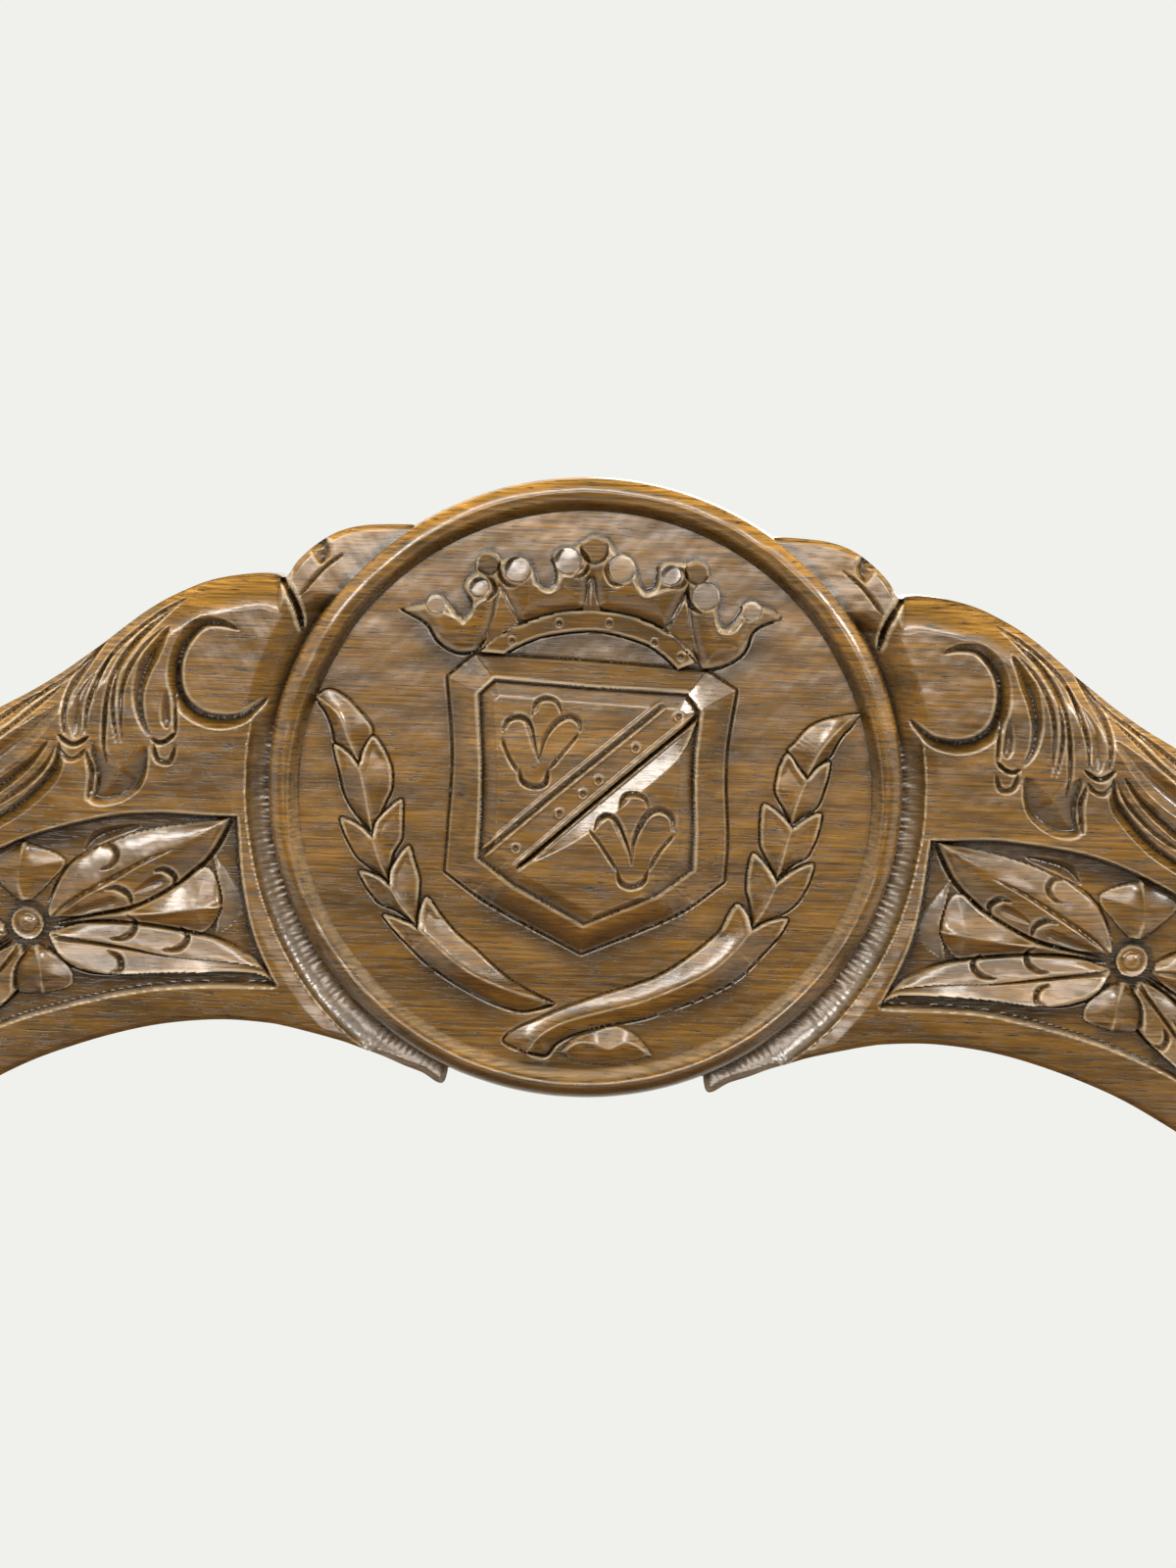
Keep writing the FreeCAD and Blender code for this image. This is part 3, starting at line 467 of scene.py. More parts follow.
CROWN_CRESCENTS = [
    [(494, 587), (503, 594), (505, 604), (497, 614)],
    [(510, 574), (511, 588), (518, 597), (529, 599)],
    [(590, 558), (600, 572), (597, 585), (584, 591)],
    [(692, 579), (700, 588), (696, 598), (683, 601)],
    [(703, 596), (701, 610), (707, 621), (717, 627)],
    [(621, 572), (619, 584), (625, 595), (636, 598)],
]
CROWN_TOP = [
    (409, 622), (435, 616), (439, 610), (451, 607), (457, 613), (463, 622), (474, 633), (481, 624),
    (479, 612), (473, 600), (477, 591), (486, 585), (487, 578), (490, 570), (499, 563), (509, 566),
    (513, 572), (518, 570), (528, 567), (540, 572), (545, 582), (548, 594), (555, 600), (562, 600),
    (566, 592), (562, 572), (566, 564), (573, 560), (586, 559), (592, 555), (599, 550), (608, 548),
    (619, 550), (625, 557), (630, 566), (644, 570), (650, 581), (653, 596), (660, 604), (668, 596),
    (670, 580), (678, 574), (692, 574), (700, 575), (709, 572), (718, 576), (723, 589), (733, 600),
    (736, 614), (732, 624), (734, 636), (741, 642), (749, 634), (755, 620), (762, 616), (774, 619),
    (787, 622), (799, 632),
]
CROWN_FOOT = [
    (409, 622), (435, 637), (448, 656), (467, 667), (490, 664), (515, 646), (561, 628), (609, 624),
    (656, 634), (700, 664), (718, 684), (741, 680), (760, 667), (771, 644), (799, 632),
]
CROWN_FOOT_ENDS = (slice(0, 33, 3), slice(80, None, 3))
CROWN_BOWLS = [
    [(409, 622), (435, 637), (448, 656), (467, 667), (484, 666), (497, 652), (505, 630), (511, 601)],
    [(512, 604), (520, 620), (532, 636), (561, 629), (595, 623), (601, 612), (603, 593)],
    [(604, 593), (607, 612), (613, 623), (656, 634), (680, 643), (692, 626), (700, 609)],
    [(701, 612), (704, 640), (709, 663), (718, 684), (741, 680), (760, 667), (771, 644), (799, 632)],
]
CROWN_CREASES = [[(514, 606), (521, 619), (530, 632)], [(603, 593), (603, 620)], [(698, 616), (684, 636)]]
CROWN_VALLEYS = [
    [(511, 600), (504, 632), (497, 652), (490, 664), (512, 648), (530, 636), (520, 620)],
    [(603.5, 590), (600, 612), (594, 624), (609, 624), (614, 624), (607, 612)],
    [(700.5, 606), (692, 626), (681, 644), (700, 662), (710, 664), (704, 640)],
]
BAND_OUTER = [(490, 666), (512, 648), (561, 628), (609, 624), (657, 634), (690, 654), (710, 677)]
BAND_INNER = [(515, 668), (536, 657), (561, 649), (609, 645), (654, 656), (676, 669), (692, 684)]
BAND_DOTS = [(523, 655), (571, 637), (622, 637), (668, 657), (695, 671)]

SHIELD_OUTER = [
    (456, 691), (484, 667), (600, 675), (722, 685), (753, 705), (744, 760), (742, 802), (744, 860),
    (741, 903), (690, 938), (593, 978), (500, 927), (452, 892), (456, 845), (461, 771),
]
SHIELD_RIDGE = [
    (488, 708), (505, 693), (600, 701), (702, 708), (715, 725), (710, 770), (709, 802), (710, 850),
    (708, 890), (670, 917), (595, 947), (525, 907), (487, 878), (490, 830), (491, 780),
]
SHIELD_POINT = 10
SHIELD_FACETS = [(0, 1), (1, 3), (3, 4), (4, 8), (8, 10), (10, 12), (12, 15)]
BEND_UPPER = [(490, 874), (560, 815), (630, 758), (678, 719)]
BEND_LOWER = [(525, 889), (590, 833), (660, 774), (714, 730)]
BEND_SCOOP = [(590, 858), (650, 812), (696, 770)]
BEND_ACROSS = (-0.64, 0.77)
BEND_DOTS = [(693, 732), (649, 764), (611, 797), (595, 811), (571, 831), (526, 867)]


@dataclass(frozen=True)
class Lily:
    """A lily of the shield: three lobes whose inner cuts meet low down, two sides and a cup."""

    lobes: Sequence[Path]
    sides: Sequence[Path]
    cup: Path


LILIES = [
    Lily([[(543, 730), (548, 716), (558, 712), (569, 716), (574, 730)],
          [(513, 747), (518, 735), (529, 731), (538, 734), (543, 743), (546, 758), (550, 777)],
          [(592, 748), (590, 737), (581, 732), (570, 737), (559, 750), (553, 767), (550, 778)]],
         [[(512, 753), (520, 774), (530, 790)], [(591, 749), (579, 763), (560, 786)]],
         [(530, 783), (532, 797), (544, 804), (557, 800), (560, 783)]),
    Lily([[(632, 826), (637, 813), (648, 810), (659, 815), (663, 828)],
          [(606, 849), (611, 837), (620, 832), (629, 837), (637, 854), (643, 871), (645, 885)],
          [(687, 850), (685, 835), (674, 828), (663, 832), (655, 843), (648, 860), (645, 885)]],
         [[(601, 848), (613, 863), (631, 891)], [(689, 852), (674, 869), (661, 891)]],
         [(630, 889), (633, 902), (644, 907), (657, 902), (662, 889)]),
]

LEFT_STEM = [
    (322, 711), (345, 729), (357, 759), (366, 781), (373, 815), (379, 854), (386, 879), (396, 904),
    (409, 928), (425, 949), (464, 985), (500, 1006), (567, 1030),
]
RIGHT_STEM = [
    (879, 729), (861, 741), (838, 767), (824, 796), (812, 826), (809, 845), (801, 872), (794, 901),
    (786, 921), (769, 951), (748, 976), (720, 998), (661, 1024), (616, 1036), (580, 1046), (560, 1055),
    (546, 1066), (536, 1081),
]


@dataclass(frozen=True)
class Leaf:
    """A leaf of a branch: its upper edge runs from stem to tip, its outer edge from tip to stem."""

    upper: Path
    outer: Path
    drop: float
    power: float


LEFT_LEAVES = [
    Leaf([(322, 711)], [(323, 709), (336, 704), (351, 711), (365, 725), (380, 748), (366, 781)], 0.9, 0.6),
    Leaf([(322, 711)], [(322, 715), (332, 728), (339, 747), (342, 760), (366, 781)], 1.2, 1.0),
    Leaf([(366, 781), (371, 764), (381, 752)], [(393, 769), (399, 785), (399, 806), (393, 820), (379, 854)],
         1.0, 0.55),
    Leaf([(379, 854), (384, 838), (408, 817)], [(410, 833), (409, 858), (400, 874), (396, 904)], 1.0, 0.55),
    Leaf([(396, 904), (398, 888), (415, 865)], [(421, 878), (427, 898), (427, 909), (425, 949)], 1.0, 0.55),
    Leaf([(425, 949), (427, 932), (434, 918)],
         [(446, 933), (464, 955), (484, 972), (520, 1004), (567, 1030)], 1.1, 0.6),
    Leaf([(366, 783), (356, 770), (340, 761)], [(344, 785), (349, 809), (359, 829), (379, 854)], 1.3, 1.0),
    Leaf([(379, 856), (367, 845), (346, 836)], [(351, 856), (359, 872), (368, 882), (396, 904)], 1.3, 1.0),
    Leaf([(396, 906), (387, 898), (365, 891)], [(373, 910), (385, 925), (404, 933), (425, 949)], 1.3, 1.0),
    Leaf([(425, 951), (416, 945), (389, 937)],
         [(411, 965), (434, 988), (479, 1018), (530, 1038), (567, 1030)], 1.4, 1.0),
]
RIGHT_LEAVES = [
    Leaf([(879, 729)], [(857, 732), (838, 737), (824, 745), (811, 760), (805, 769), (824, 796)], 0.9, 0.6),
    Leaf([(879, 729)], [(874, 739), (861, 752), (853, 765), (848, 774), (824, 796)], 1.2, 1.0),
    Leaf([(824, 796), (816, 785), (805, 770)], [(796, 785), (792, 804), (794, 815), (801, 827), (809, 845)],
         1.0, 0.55),
    Leaf([(809, 845), (798, 833), (781, 822)], [(777, 841), (777, 863), (782, 876), (794, 901)], 1.0, 0.55),
    Leaf([(794, 901), (785, 887), (770, 873)], [(764, 893), (763, 911), (766, 924), (769, 951)], 1.0, 0.55),
    Leaf([(769, 951), (764, 935), (752, 926)],
         [(737, 952), (720, 968), (690, 990), (661, 1005), (613, 1020), (570, 1035), (546, 1046),
          (526, 1055), (512, 1069), (536, 1081)], 1.1, 0.6),
    Leaf([(824, 797), (835, 785), (848, 779)], [(846, 798), (840, 817), (833, 828), (809, 845)], 1.3, 1.0),
    Leaf([(810, 847), (824, 837), (840, 833)], [(835, 859), (826, 877), (813, 884), (794, 901)], 1.3, 1.0),
    Leaf([(794, 903), (811, 891), (832, 884)], [(827, 906), (818, 922), (803, 935), (769, 951)], 1.3, 1.0),
    Leaf([(769, 952), (785, 944), (806, 941)],
         [(798, 959), (779, 980), (753, 1005), (712, 1026), (662, 1044), (629, 1051), (603, 1057),
          (580, 1065), (566, 1074), (556, 1085), (536, 1081)], 1.4, 1.0),
]
CROSSING_LEAF_RIDGE = [(572, 1080), (590, 1069), (606, 1070), (622, 1076), (642, 1069), (667, 1084)]
CROSSING_LEAF_TOP = [(572, 1080), (583, 1067), (605, 1059), (629, 1053), (650, 1063), (667, 1084)]
CROSSING_LEAF_FOOT = [(572, 1080), (590, 1089), (625, 1092), (667, 1084)]

VOLUTE_GROOVE = [
    (244, 643), (226, 637), (207, 638), (190, 653), (181, 674), (181, 697), (188, 716), (203, 729),
    (222, 734), (245, 731), (262, 720), (272, 712),
]
WING_STROKES = [
    Stroke(VOLUTE_GROOVE, 5.0, 2.6, 0.3, (0.25, 0.25)),
    Stroke([(172, 640), (163, 653), (150, 676), (143, 697), (141, 714), (144, 735), (152, 752)], 5.4, 2.4,
           0.0, (0.3, 0.7)),
    Stroke([(170, 704), (169, 724), (170, 745)], 3.6, 1.0, 0.0, (0.5, 0.2), Profile.ROUND),
    Stroke([(154, 755), (162, 759), (170, 757), (180, 749)], 1.8, 1.4, 0.0, (0.2, 0.2)),
    Stroke([(178, 706), (179, 728), (179, 750)], 1.4, 1.0, 0.0, (0.5, 0.1)),
    Stroke([(156, 760), (160, 774), (167, 778), (173, 776), (179, 762)], 2.0, 1.0, 0.3, (0.2, 0.2)),
    Stroke([(105, 655), (94, 668), (78, 690), (67, 711), (63, 732), (64, 752)], 3.0, 1.7, 0.0, (0.3, 0.5)),
    Stroke([(96, 688), (82, 712), (77, 735), (75, 754)], 4.4, 0.9, 0.0, (0.5, 0.2), Profile.ROUND),
    Stroke([(113, 666), (97, 697), (87, 724), (85, 750)], 2.4, 1.4, 0.0, (0.3, 0.4)),
    Stroke([(57, 750), (66, 758), (76, 760), (90, 751)], 1.8, 1.4, 0.0, (0.2, 0.2)),
    Stroke([(58, 764), (67, 774), (76, 773), (86, 764)], 1.8, 0.9, 0.3, (0.2, 0.2)),
    Stroke([(191, 610), (163, 626), (134, 647), (115, 666), (101, 691), (95, 716)], 1.9, 1.0, 0.0,
           (0.2, 0.4)),
    Stroke([(182, 616), (149, 642), (128, 665), (115, 690), (107, 720), (104, 758), (106, 782)], 1.9, 1.0,
           0.0, (0.2, 0.2)),
    Stroke([(172, 624), (143, 651), (125, 676), (117, 697), (114, 724), (118, 760)], 1.7, 0.9, 0.0,
           (0.2, 0.3)),
    Stroke([(166, 640), (147, 659), (132, 682), (124, 705), (122, 728), (123, 760)], 1.9, 0.9, 0.0,
           (0.2, 0.4)),
    Stroke([(158, 632), (138, 652), (122, 676), (110, 702)], 1.2, 0.6, 0.0, (0.2, 0.4)),
    Stroke([(92, 760), (95, 780), (96, 800), (93, 814), (107, 816), (122, 811), (136, 800), (144, 785),
            (149, 762)], 10.0, 2.2, -0.55, (0.2, 0.3)),
    Stroke([(86, 766), (90, 790), (85, 818)], 2.0, 1.3, 0.0, (0.3, 0.2)),
    Stroke([(58, 721), (44, 735), (23, 753), (0, 771), (-15, 781), (-60, 812)], 8.0, 1.6, 0.0, (0.4, 0.4),
           Profile.ROUND),
    Stroke([(48, 756), (29, 778), (0, 801), (-20, 815), (-60, 838)], 3.8, 1.9, 0.0, (0.4, 0.4)),
    Stroke([(56, 760), (44, 781), (25, 800), (0, 818), (-30, 834)], 2.2, 1.1, 0.0, (0.3, 0.4)),
    Stroke([(58, 758), (54, 781), (40, 800), (19, 820), (0, 833), (-30, 848), (-70, 862)], 4.6, 2.0, -0.35,
           (0.2, 0.3)),
    Stroke([(36, 709), (19, 720), (0, 733), (-20, 746), (-60, 768)], 2.6, 1.4, 0.0, (0.3, 0.4)),
    Stroke([(62, 699), (34, 722), (0, 749), (-40, 776)], 2.0, 1.0, 0.0, (0.3, 0.4)),
    Stroke([(52, 698), (26, 718), (0, 739), (-40, 764)], 1.6, 0.8, 0.0, (0.3, 0.4)),
    Stroke([(90, 672), (66, 692), (40, 709), (10, 731)], 1.6, 0.7, 0.0, (0.3, 0.4)),
]
TUCKED_LEAF_STROKES = [
    Stroke([(286, 590), (297, 607), (304, 623), (308, 645)], 2.4, 2.2, 0.0, (0.05, 0.2)),
    Stroke([(352, 566), (331, 581), (306, 609)], 1.7, 0.9, 0.2, (0.3, 0.2)),
    Stroke([(329, 551), (333, 562), (328, 577)], 6.5, 1.8, 0.4, (0.1, 0.35)),
]

FLOWER = (22, 946)
FLOWER_BOSS = [(7.2, -4.0, 0.0), (5.0, -2.0, -0.6), (2.8, -2.6, 1.2)]
PETAL_MIDRIB_UP = [(40, 941), (79, 916), (119, 894), (148, 880), (172, 871), (233, 836)]
PETAL_TOP_UP = [(40, 941), (54, 902), (69, 882), (87, 870), (111, 862), (142, 852), (184, 843), (233, 836)]
PETAL_FOOT_UP = [(40, 941), (89, 938), (131, 928), (172, 908), (194, 892), (214, 872), (233, 836)]
TULIP_RIDGE = [(42, 948), (111, 938), (158, 935), (222, 929)]
TULIP_TOP = [(42, 948), (92, 939), (133, 929), (174, 909), (196, 893), (209, 889), (218, 902), (222, 929)]
TULIP_FOOT = [(42, 948), (89, 944), (138, 946), (178, 952), (200, 956), (214, 945), (222, 929)]
TULIP_SCOOP_OUTER = [(214, 874), (234, 900), (243, 926), (234, 946), (214, 959)]
TULIP_SCOOP_INNER = [(214, 874), (219, 900), (223, 926), (217, 944), (214, 959)]
PETAL_MIDRIB_DOWN = [(42, 956), (89, 965), (128, 972), (168, 980), (255, 990), (281, 1010)]
PETAL_TOP_DOWN = [(42, 956), (89, 945), (138, 947), (178, 953), (218, 963), (255, 982), (281, 1010)]
PETAL_FOOT_DOWN = [(42, 956), (59, 984), (85, 996), (119, 999), (178, 997), (253, 997), (281, 1010)]
SHORT_RIDGE_UP = [(20, 928), (14, 900), (20, 862)]
SHORT_RIDGE_DOWN = [(28, 966), (33, 990), (36, 1020)]
LONG_PETALS = [
    Facet(TULIP_SCOOP_INNER, TULIP_SCOOP_OUTER, -2.6, 1.6, 0.6),
    Facet(TULIP_RIDGE, TULIP_TOP, -0.6, 2.2),
    Facet(TULIP_RIDGE, TULIP_FOOT, -0.6, 2.4),
    Facet(PETAL_MIDRIB_UP, PETAL_TOP_UP, -1.0, 1.8, 2.0),
    Facet(PETAL_MIDRIB_UP, PETAL_FOOT_UP, -1.0, 2.0, 1.6),
    Facet(PETAL_MIDRIB_DOWN, PETAL_TOP_DOWN, -1.0, 1.8, 1.6),
    Facet(PETAL_MIDRIB_DOWN, PETAL_FOOT_DOWN, -2.0, -1.6),
]
SHORT_PETALS = [
    Facet(SHORT_RIDGE_UP, [(20, 928), (44, 905), (60, 880), (20, 862)], -0.8, 2.3),
    Facet(SHORT_RIDGE_UP, [(20, 928), (-6, 905), (-18, 884), (20, 862)], -0.8, 2.5),
    Facet(SHORT_RIDGE_DOWN, [(28, 966), (60, 988), (66, 1010), (36, 1020)], -0.8, 2.3),
    Facet(SHORT_RIDGE_DOWN, [(28, 966), (8, 990), (8, 1016), (36, 1020)], -0.8, 2.5),
]
PETAL_STROKES = [
    Stroke([(46, 940), (79, 916), (119, 894), (148, 880), (174, 870)], 2.4, 1.3, 0.0, (0.15, 0.5)),
    Stroke([(44, 925), (54, 902), (69, 882), (96, 866)], 1.6, 1.0, 0.0, (0.2, 0.3)),
    Stroke([(80, 870), (98, 855), (140, 846)], 4.4, 2.0, 0.0, (0.3, 0.6)),
    Stroke([(234, 838), (214, 873), (194, 893), (172, 909), (131, 929), (89, 939), (50, 946)], 2.0, 1.4,
           0.0, (0.1, 0.2)),
    Stroke([(47, 950), (89, 945), (138, 947), (178, 953), (218, 963), (256, 982)], 1.5, 1.0, 0.0,
           (0.15, 0.15)),
    Stroke([(47, 961), (89, 966), (128, 973), (170, 981)], 1.8, 1.1, 0.0, (0.15, 0.5)),
    Stroke([(40, 970), (59, 985), (85, 996), (110, 1000)], 2.2, 1.3, 0.0, (0.15, 0.4)),
    Stroke([(131, 914), (146, 907), (165, 899)], 4.2, 0.8, 0.0, (0.6, 0.15), Profile.ROUND),
    Stroke([(67, 936), (93, 929), (117, 921)], 4.2, 0.8, 0.0, (0.6, 0.15), Profile.ROUND),
]
EYELETS = [
    [(98, 866), (109, 866), (115, 875), (109, 885), (98, 890)],
    [(152, 893), (164, 891), (174, 899), (171, 910)],
    [(101, 911), (114, 909), (126, 916), (129, 928)],
    [(124, 936), (132, 945), (129, 956), (118, 962), (107, 962)],
    [(178, 949), (186, 960), (178, 971), (161, 974)],
    [(104, 975), (116, 982), (117, 994), (104, 1000)],
]

# Lines that the photograph doesn't show whole, in mm outwards and up from the roundel's centre.
PANEL_ARCS = [
    [(107.0, -11.5), (133.0, -11.4), (162.0, -16.5), (197.0, -34.5), (228.0, -68.0)],
    [(228.0, -68.0), (225.0, -88.0), (213.0, -103.0)],
    [(213.0, -103.0), (184.0, -82.5), (152.0, -71.0), (122.0, -65.5), (93.0, -64.5)],
    [(93.0, -64.5), (102.5, -43.0), (107.0, -11.5)],
]

TOP_EDGE = [
    (0.0, 92.0), (20.0, 89.8), (40.0, 82.8), (52.0, 78.5), (56.0, 79.6), (66.0, 79.3), (72.0, 78.6),
    (78.0, 76.8), (84.0, 73.3), (90.0, 67.8), (94.0, 62.4), (98.0, 62.9), (102.0, 63.1), (108.0, 62.5),
    (114.0, 61.4), (120.0, 59.6), (126.0, 56.9), (132.0, 53.7), (138.0, 49.7), (144.0, 45.0), (150.0, 40.1),
    (156.0, 35.5), (162.0, 31.0), (168.0, 27.0), (174.0, 23.3), (180.0, 20.0), (200.0, 8.8), (225.0, -3.5),
    (245.0, -13.0), (261.8, -21.4),
]
FOOT_EDGE = [
    (0.0, -90.0), (20.0, -87.8), (36.0, -82.0), (39.0, -82.6), (41.0, -93.2), (48.0, -90.2), (54.0, -88.0),
    (60.0, -85.4), (66.0, -83.1), (72.0, -81.0), (78.0, -79.4), (84.0, -78.0), (90.0, -76.7), (96.0, -75.8),
    (108.0, -75.2), (120.0, -76.0), (132.0, -77.9), (144.0, -81.0), (156.0, -85.0), (168.0, -89.8),
    (180.0, -96.0), (200.0, -107.8), (217.5, -120.1), (236.0, -134.0), (253.0, -147.8),
]
OUTER_STROKES = [
    Stroke([(196.0, 1.0), (220.0, -10.0), (243.0, -21.0), (256.0, -34.0), (256.0, -50.0), (268.0, -62.0),
            (284.0, -64.0), (300.0, -56.0), (306.0, -40.0), (300.0, -26.0), (286.0, -20.0), (274.0, -26.0),
            (270.0, -38.0), (278.0, -47.0), (288.0, -44.0)], 5.0, 2.4, 0.0, (0.15, 0.1)),
    Stroke([(184.0, 6.0), (208.0, -6.0), (232.0, -24.0), (246.0, -44.0), (250.0, -62.0)], 3.4, 1.6, 0.0,
           (0.3, 0.3)),
    Stroke([(188.0, -3.0), (208.0, -15.0), (228.0, -34.0), (240.0, -56.0), (244.0, -74.0)], 3.4, 1.6, 0.0,
           (0.3, 0.3)),
    Stroke([(204.0, -20.0), (220.0, -36.0), (232.0, -54.0), (236.0, -70.0)], 2.6, 1.2, 0.0, (0.3, 0.3)),
    Stroke([(236.0, -82.0), (234.0, -100.0), (226.0, -112.0)], 6.0, 1.5, 0.0, (0.3, 0.3), Profile.ROUND),
    Stroke([(262.0, -86.0), (258.0, -108.0), (263.0, -132.0), (264.0, -164.0)], 4.6, 1.8, 0.0, (0.3, 0.1),
           Profile.ROUND),
    Stroke([(274.0, -82.0), (270.0, -108.0), (275.0, -134.0), (276.0, -164.0)], 5.0, 2.0, 0.0, (0.3, 0.1),
           Profile.ROUND),
    Stroke([(287.0, -80.0), (283.0, -108.0), (287.0, -134.0), (288.0, -164.0)], 5.0, 2.0, 0.0, (0.3, 0.1),
           Profile.ROUND),
    Stroke([(299.0, -84.0), (295.0, -108.0), (299.0, -134.0), (300.0, -164.0)], 4.6, 1.8, 0.0, (0.3, 0.1),
           Profile.ROUND),
]

# The rim's profile, as radius and height in mm.
RIM_BEAD = [
    (86.6, -1.9), (88.2, 0.6), (89.6, 2.6), (90.8, 3.6), (92.2, 3.5), (93.8, 2.7), (95.2, 1.2), (95.9, -1.2),
]
RIM_INNER = (86.0, -2.2)
RIM_BACK = [(95.9, -3.5), (95.3, -9.5), (86.0, -9.5)]

# The tools that several lines share.
LEAF_LINE = Stroke((), 1.0, 0.8, ease=(0.02, 0.02))
FRAME_LINE = Stroke((), 1.1, 0.9, ease=(0.001, 0.001))
BAND_LINE = Stroke((), 1.1, 0.9, ease=(0.02, 0.02))
BEND_GROOVE = Stroke((), 1.6, 1.2, ease=(0.03, 0.03))
BEND_LIP = Stroke((), 1.2, -0.7, ease=(0.03, 0.03))
LOBE_CUT = Stroke((), 2.4, 1.6, -0.4, (0.18, 0.5))
LOBE_LIP = Stroke((), 1.2, -0.4, ease=(0.2, 0.6))
LILY_SIDE = Stroke((), 1.5, 1.0, ease=(0.15, 0.15))
LILY_CUP = Stroke((), 2.4, 1.6, 0.3)
CROWN_CREASE = Stroke((), 1.1, -0.4, ease=(0.1, 0.1))
CROWN_CUP_LIP = Stroke((), 1.4, -0.4, 0.0, (0.05, 0.05), Profile.ROUND)
CRESCENT_CUT = Stroke((), 1.9, 1.6)
EYELET_CUT = Stroke((), 2.6, 2.0, ease=(0.4, 0.4))


def select_only(obj: bpy.types.Object) -> None:
    """Leaves one object selected and active.

    Args:
        obj: The object.
    """
    bpy.ops.object.select_all(action="DESELECT")
    obj.select_set(True)
    bpy.context.view_layer.objects.active = obj


def grid_piece(name: str, places: np.ndarray, columns: int, rows: int) -> bpy.types.Object:
    """Adds a grid and moves its points to carved places.

    Args:
        name: Name of the piece.
        places: Places of the points, row by row, in metres.
        columns: Cells across.
        rows: Cells up.

    Returns:
        The new object.
    """
    bpy.ops.object.select_all(action="DESELECT")
    bpy.ops.mesh.primitive_grid_add(x_subdivisions=columns, y_subdivisions=rows, size=1.0)
    piece = bpy.context.object
    piece.name = name
    piece.data.name = name
    piece.data.vertices.foreach_set("co", places.astype(np.float32).ravel())
    return piece


def block_of(width: int, row: int, column: int, rows: int, columns: int) -> np.ndarray:
    """Gives the numbers of the points in a block of a larger grid.

    Args:
        width: Points in a row of the larger grid.
        row: First row of the block.
        column: First column of the block.
        rows: Cells up the block.
        columns: Cells across it.

    Returns:
        Numbers of the points, row by row.
    """
    across = np.arange(column, column + columns + 1)
    return (np.arange(row, row + rows + 1)[:, None] * width + across[None, :]).ravel()


def round_grid(cells: int, radius: float) -> tuple[np.ndarray, np.ndarray]:
    """Bends a square grid into a disc.

    Args:
        cells: Cells along each side of the grid.
        radius: Radius of the disc.

    Returns:
        Places across and up, row by row.
    """
    side = np.linspace(-1, 1, cells + 1)
    u, v = [a.ravel() for a in np.meshgrid(side, side)]
    wide = np.abs(u) > np.abs(v)
    reach = np.where(wide, u, v)
    other = np.where(wide, v, u)
    turn = math.pi / 4 * np.divide(other, reach, out=np.zeros_like(u), where=reach != 0)
    x = radius * reach * np.where(wide, np.cos(turn), np.sin(turn))
    z = radius * reach * np.where(wide, np.sin(turn), np.cos(turn))
    return x, z


def close_back(piece: bpy.types.Object, back: float, chamfer: float) -> None:
    """Turns a carved face into a solid: walls to the back, a flat back and a small chamfer round it.

    Args:
        piece: The carved face, open behind.
        back: Place of the back along the depth, in metres.
        chamfer: Size of the chamfer, in metres.
    """
    select_only(piece)
    bpy.ops.object.mode_set(mode="EDIT")
    bpy.ops.mesh.select_mode(type="EDGE")
    bpy.ops.mesh.select_all(action="DESELECT")
    bpy.ops.mesh.select_non_manifold()
    bpy.ops.mesh.extrude_edges_move()
    bpy.ops.object.mode_set(mode="OBJECT")
    for vert in piece.data.vertices:
        if vert.select:
            vert.co.y = back - chamfer
    bpy.ops.object.mode_set(mode="EDIT")
    bpy.ops.mesh.edge_face_add()
    bpy.ops.mesh.inset(thickness=chamfer, depth=0.0)
    bpy.ops.object.mode_set(mode="OBJECT")
    for vert in piece.data.vertices:
        if vert.select:
            vert.co.y = back
    bpy.ops.object.mode_set(mode="EDIT")
    bpy.ops.mesh.select_all(action="SELECT")
    bpy.ops.mesh.normals_make_consistent(inside=False)
    bpy.ops.object.mode_set(mode="OBJECT")
    bpy.ops.object.shade_smooth_by_angle(angle=SMOOTH_ANGLE)
    for face in piece.data.polygons:
        face.use_smooth = len(face.vertices) == 4


def store(piece: bpy.types.Object, wear: dict[str, np.ndarray]) -> None:
    """Keeps values for each of a piece's first points, as attributes that its finish reads.

    Args:
        piece: The piece.
        wear: Values by the attribute's name.
    """
    for name, values in wear.items():
        full = np.zeros(len(piece.data.vertices), np.float32)
        full[:len(values)] = values
        made = piece.data.attributes.new(name, "FLOAT", "POINT")
        made.data.foreach_set("value", full)


def dress(piece: bpy.types.Object, material: bpy.types.Material) -> None:
    """Gives a piece its finish as its only material slot.

    Args:
        piece: The piece.
        material: Its finish.
    """
    piece.data.materials.clear()
    piece.data.materials.append(material)


class Grain(Enum):
    """Which way the wood's fibres run: axes along them, through the growth rings and across them."""

    ACROSS = (0, 1, 2)
    DEEP = (1, 0, 2)
    UPRIGHT = (2, 1, 0)


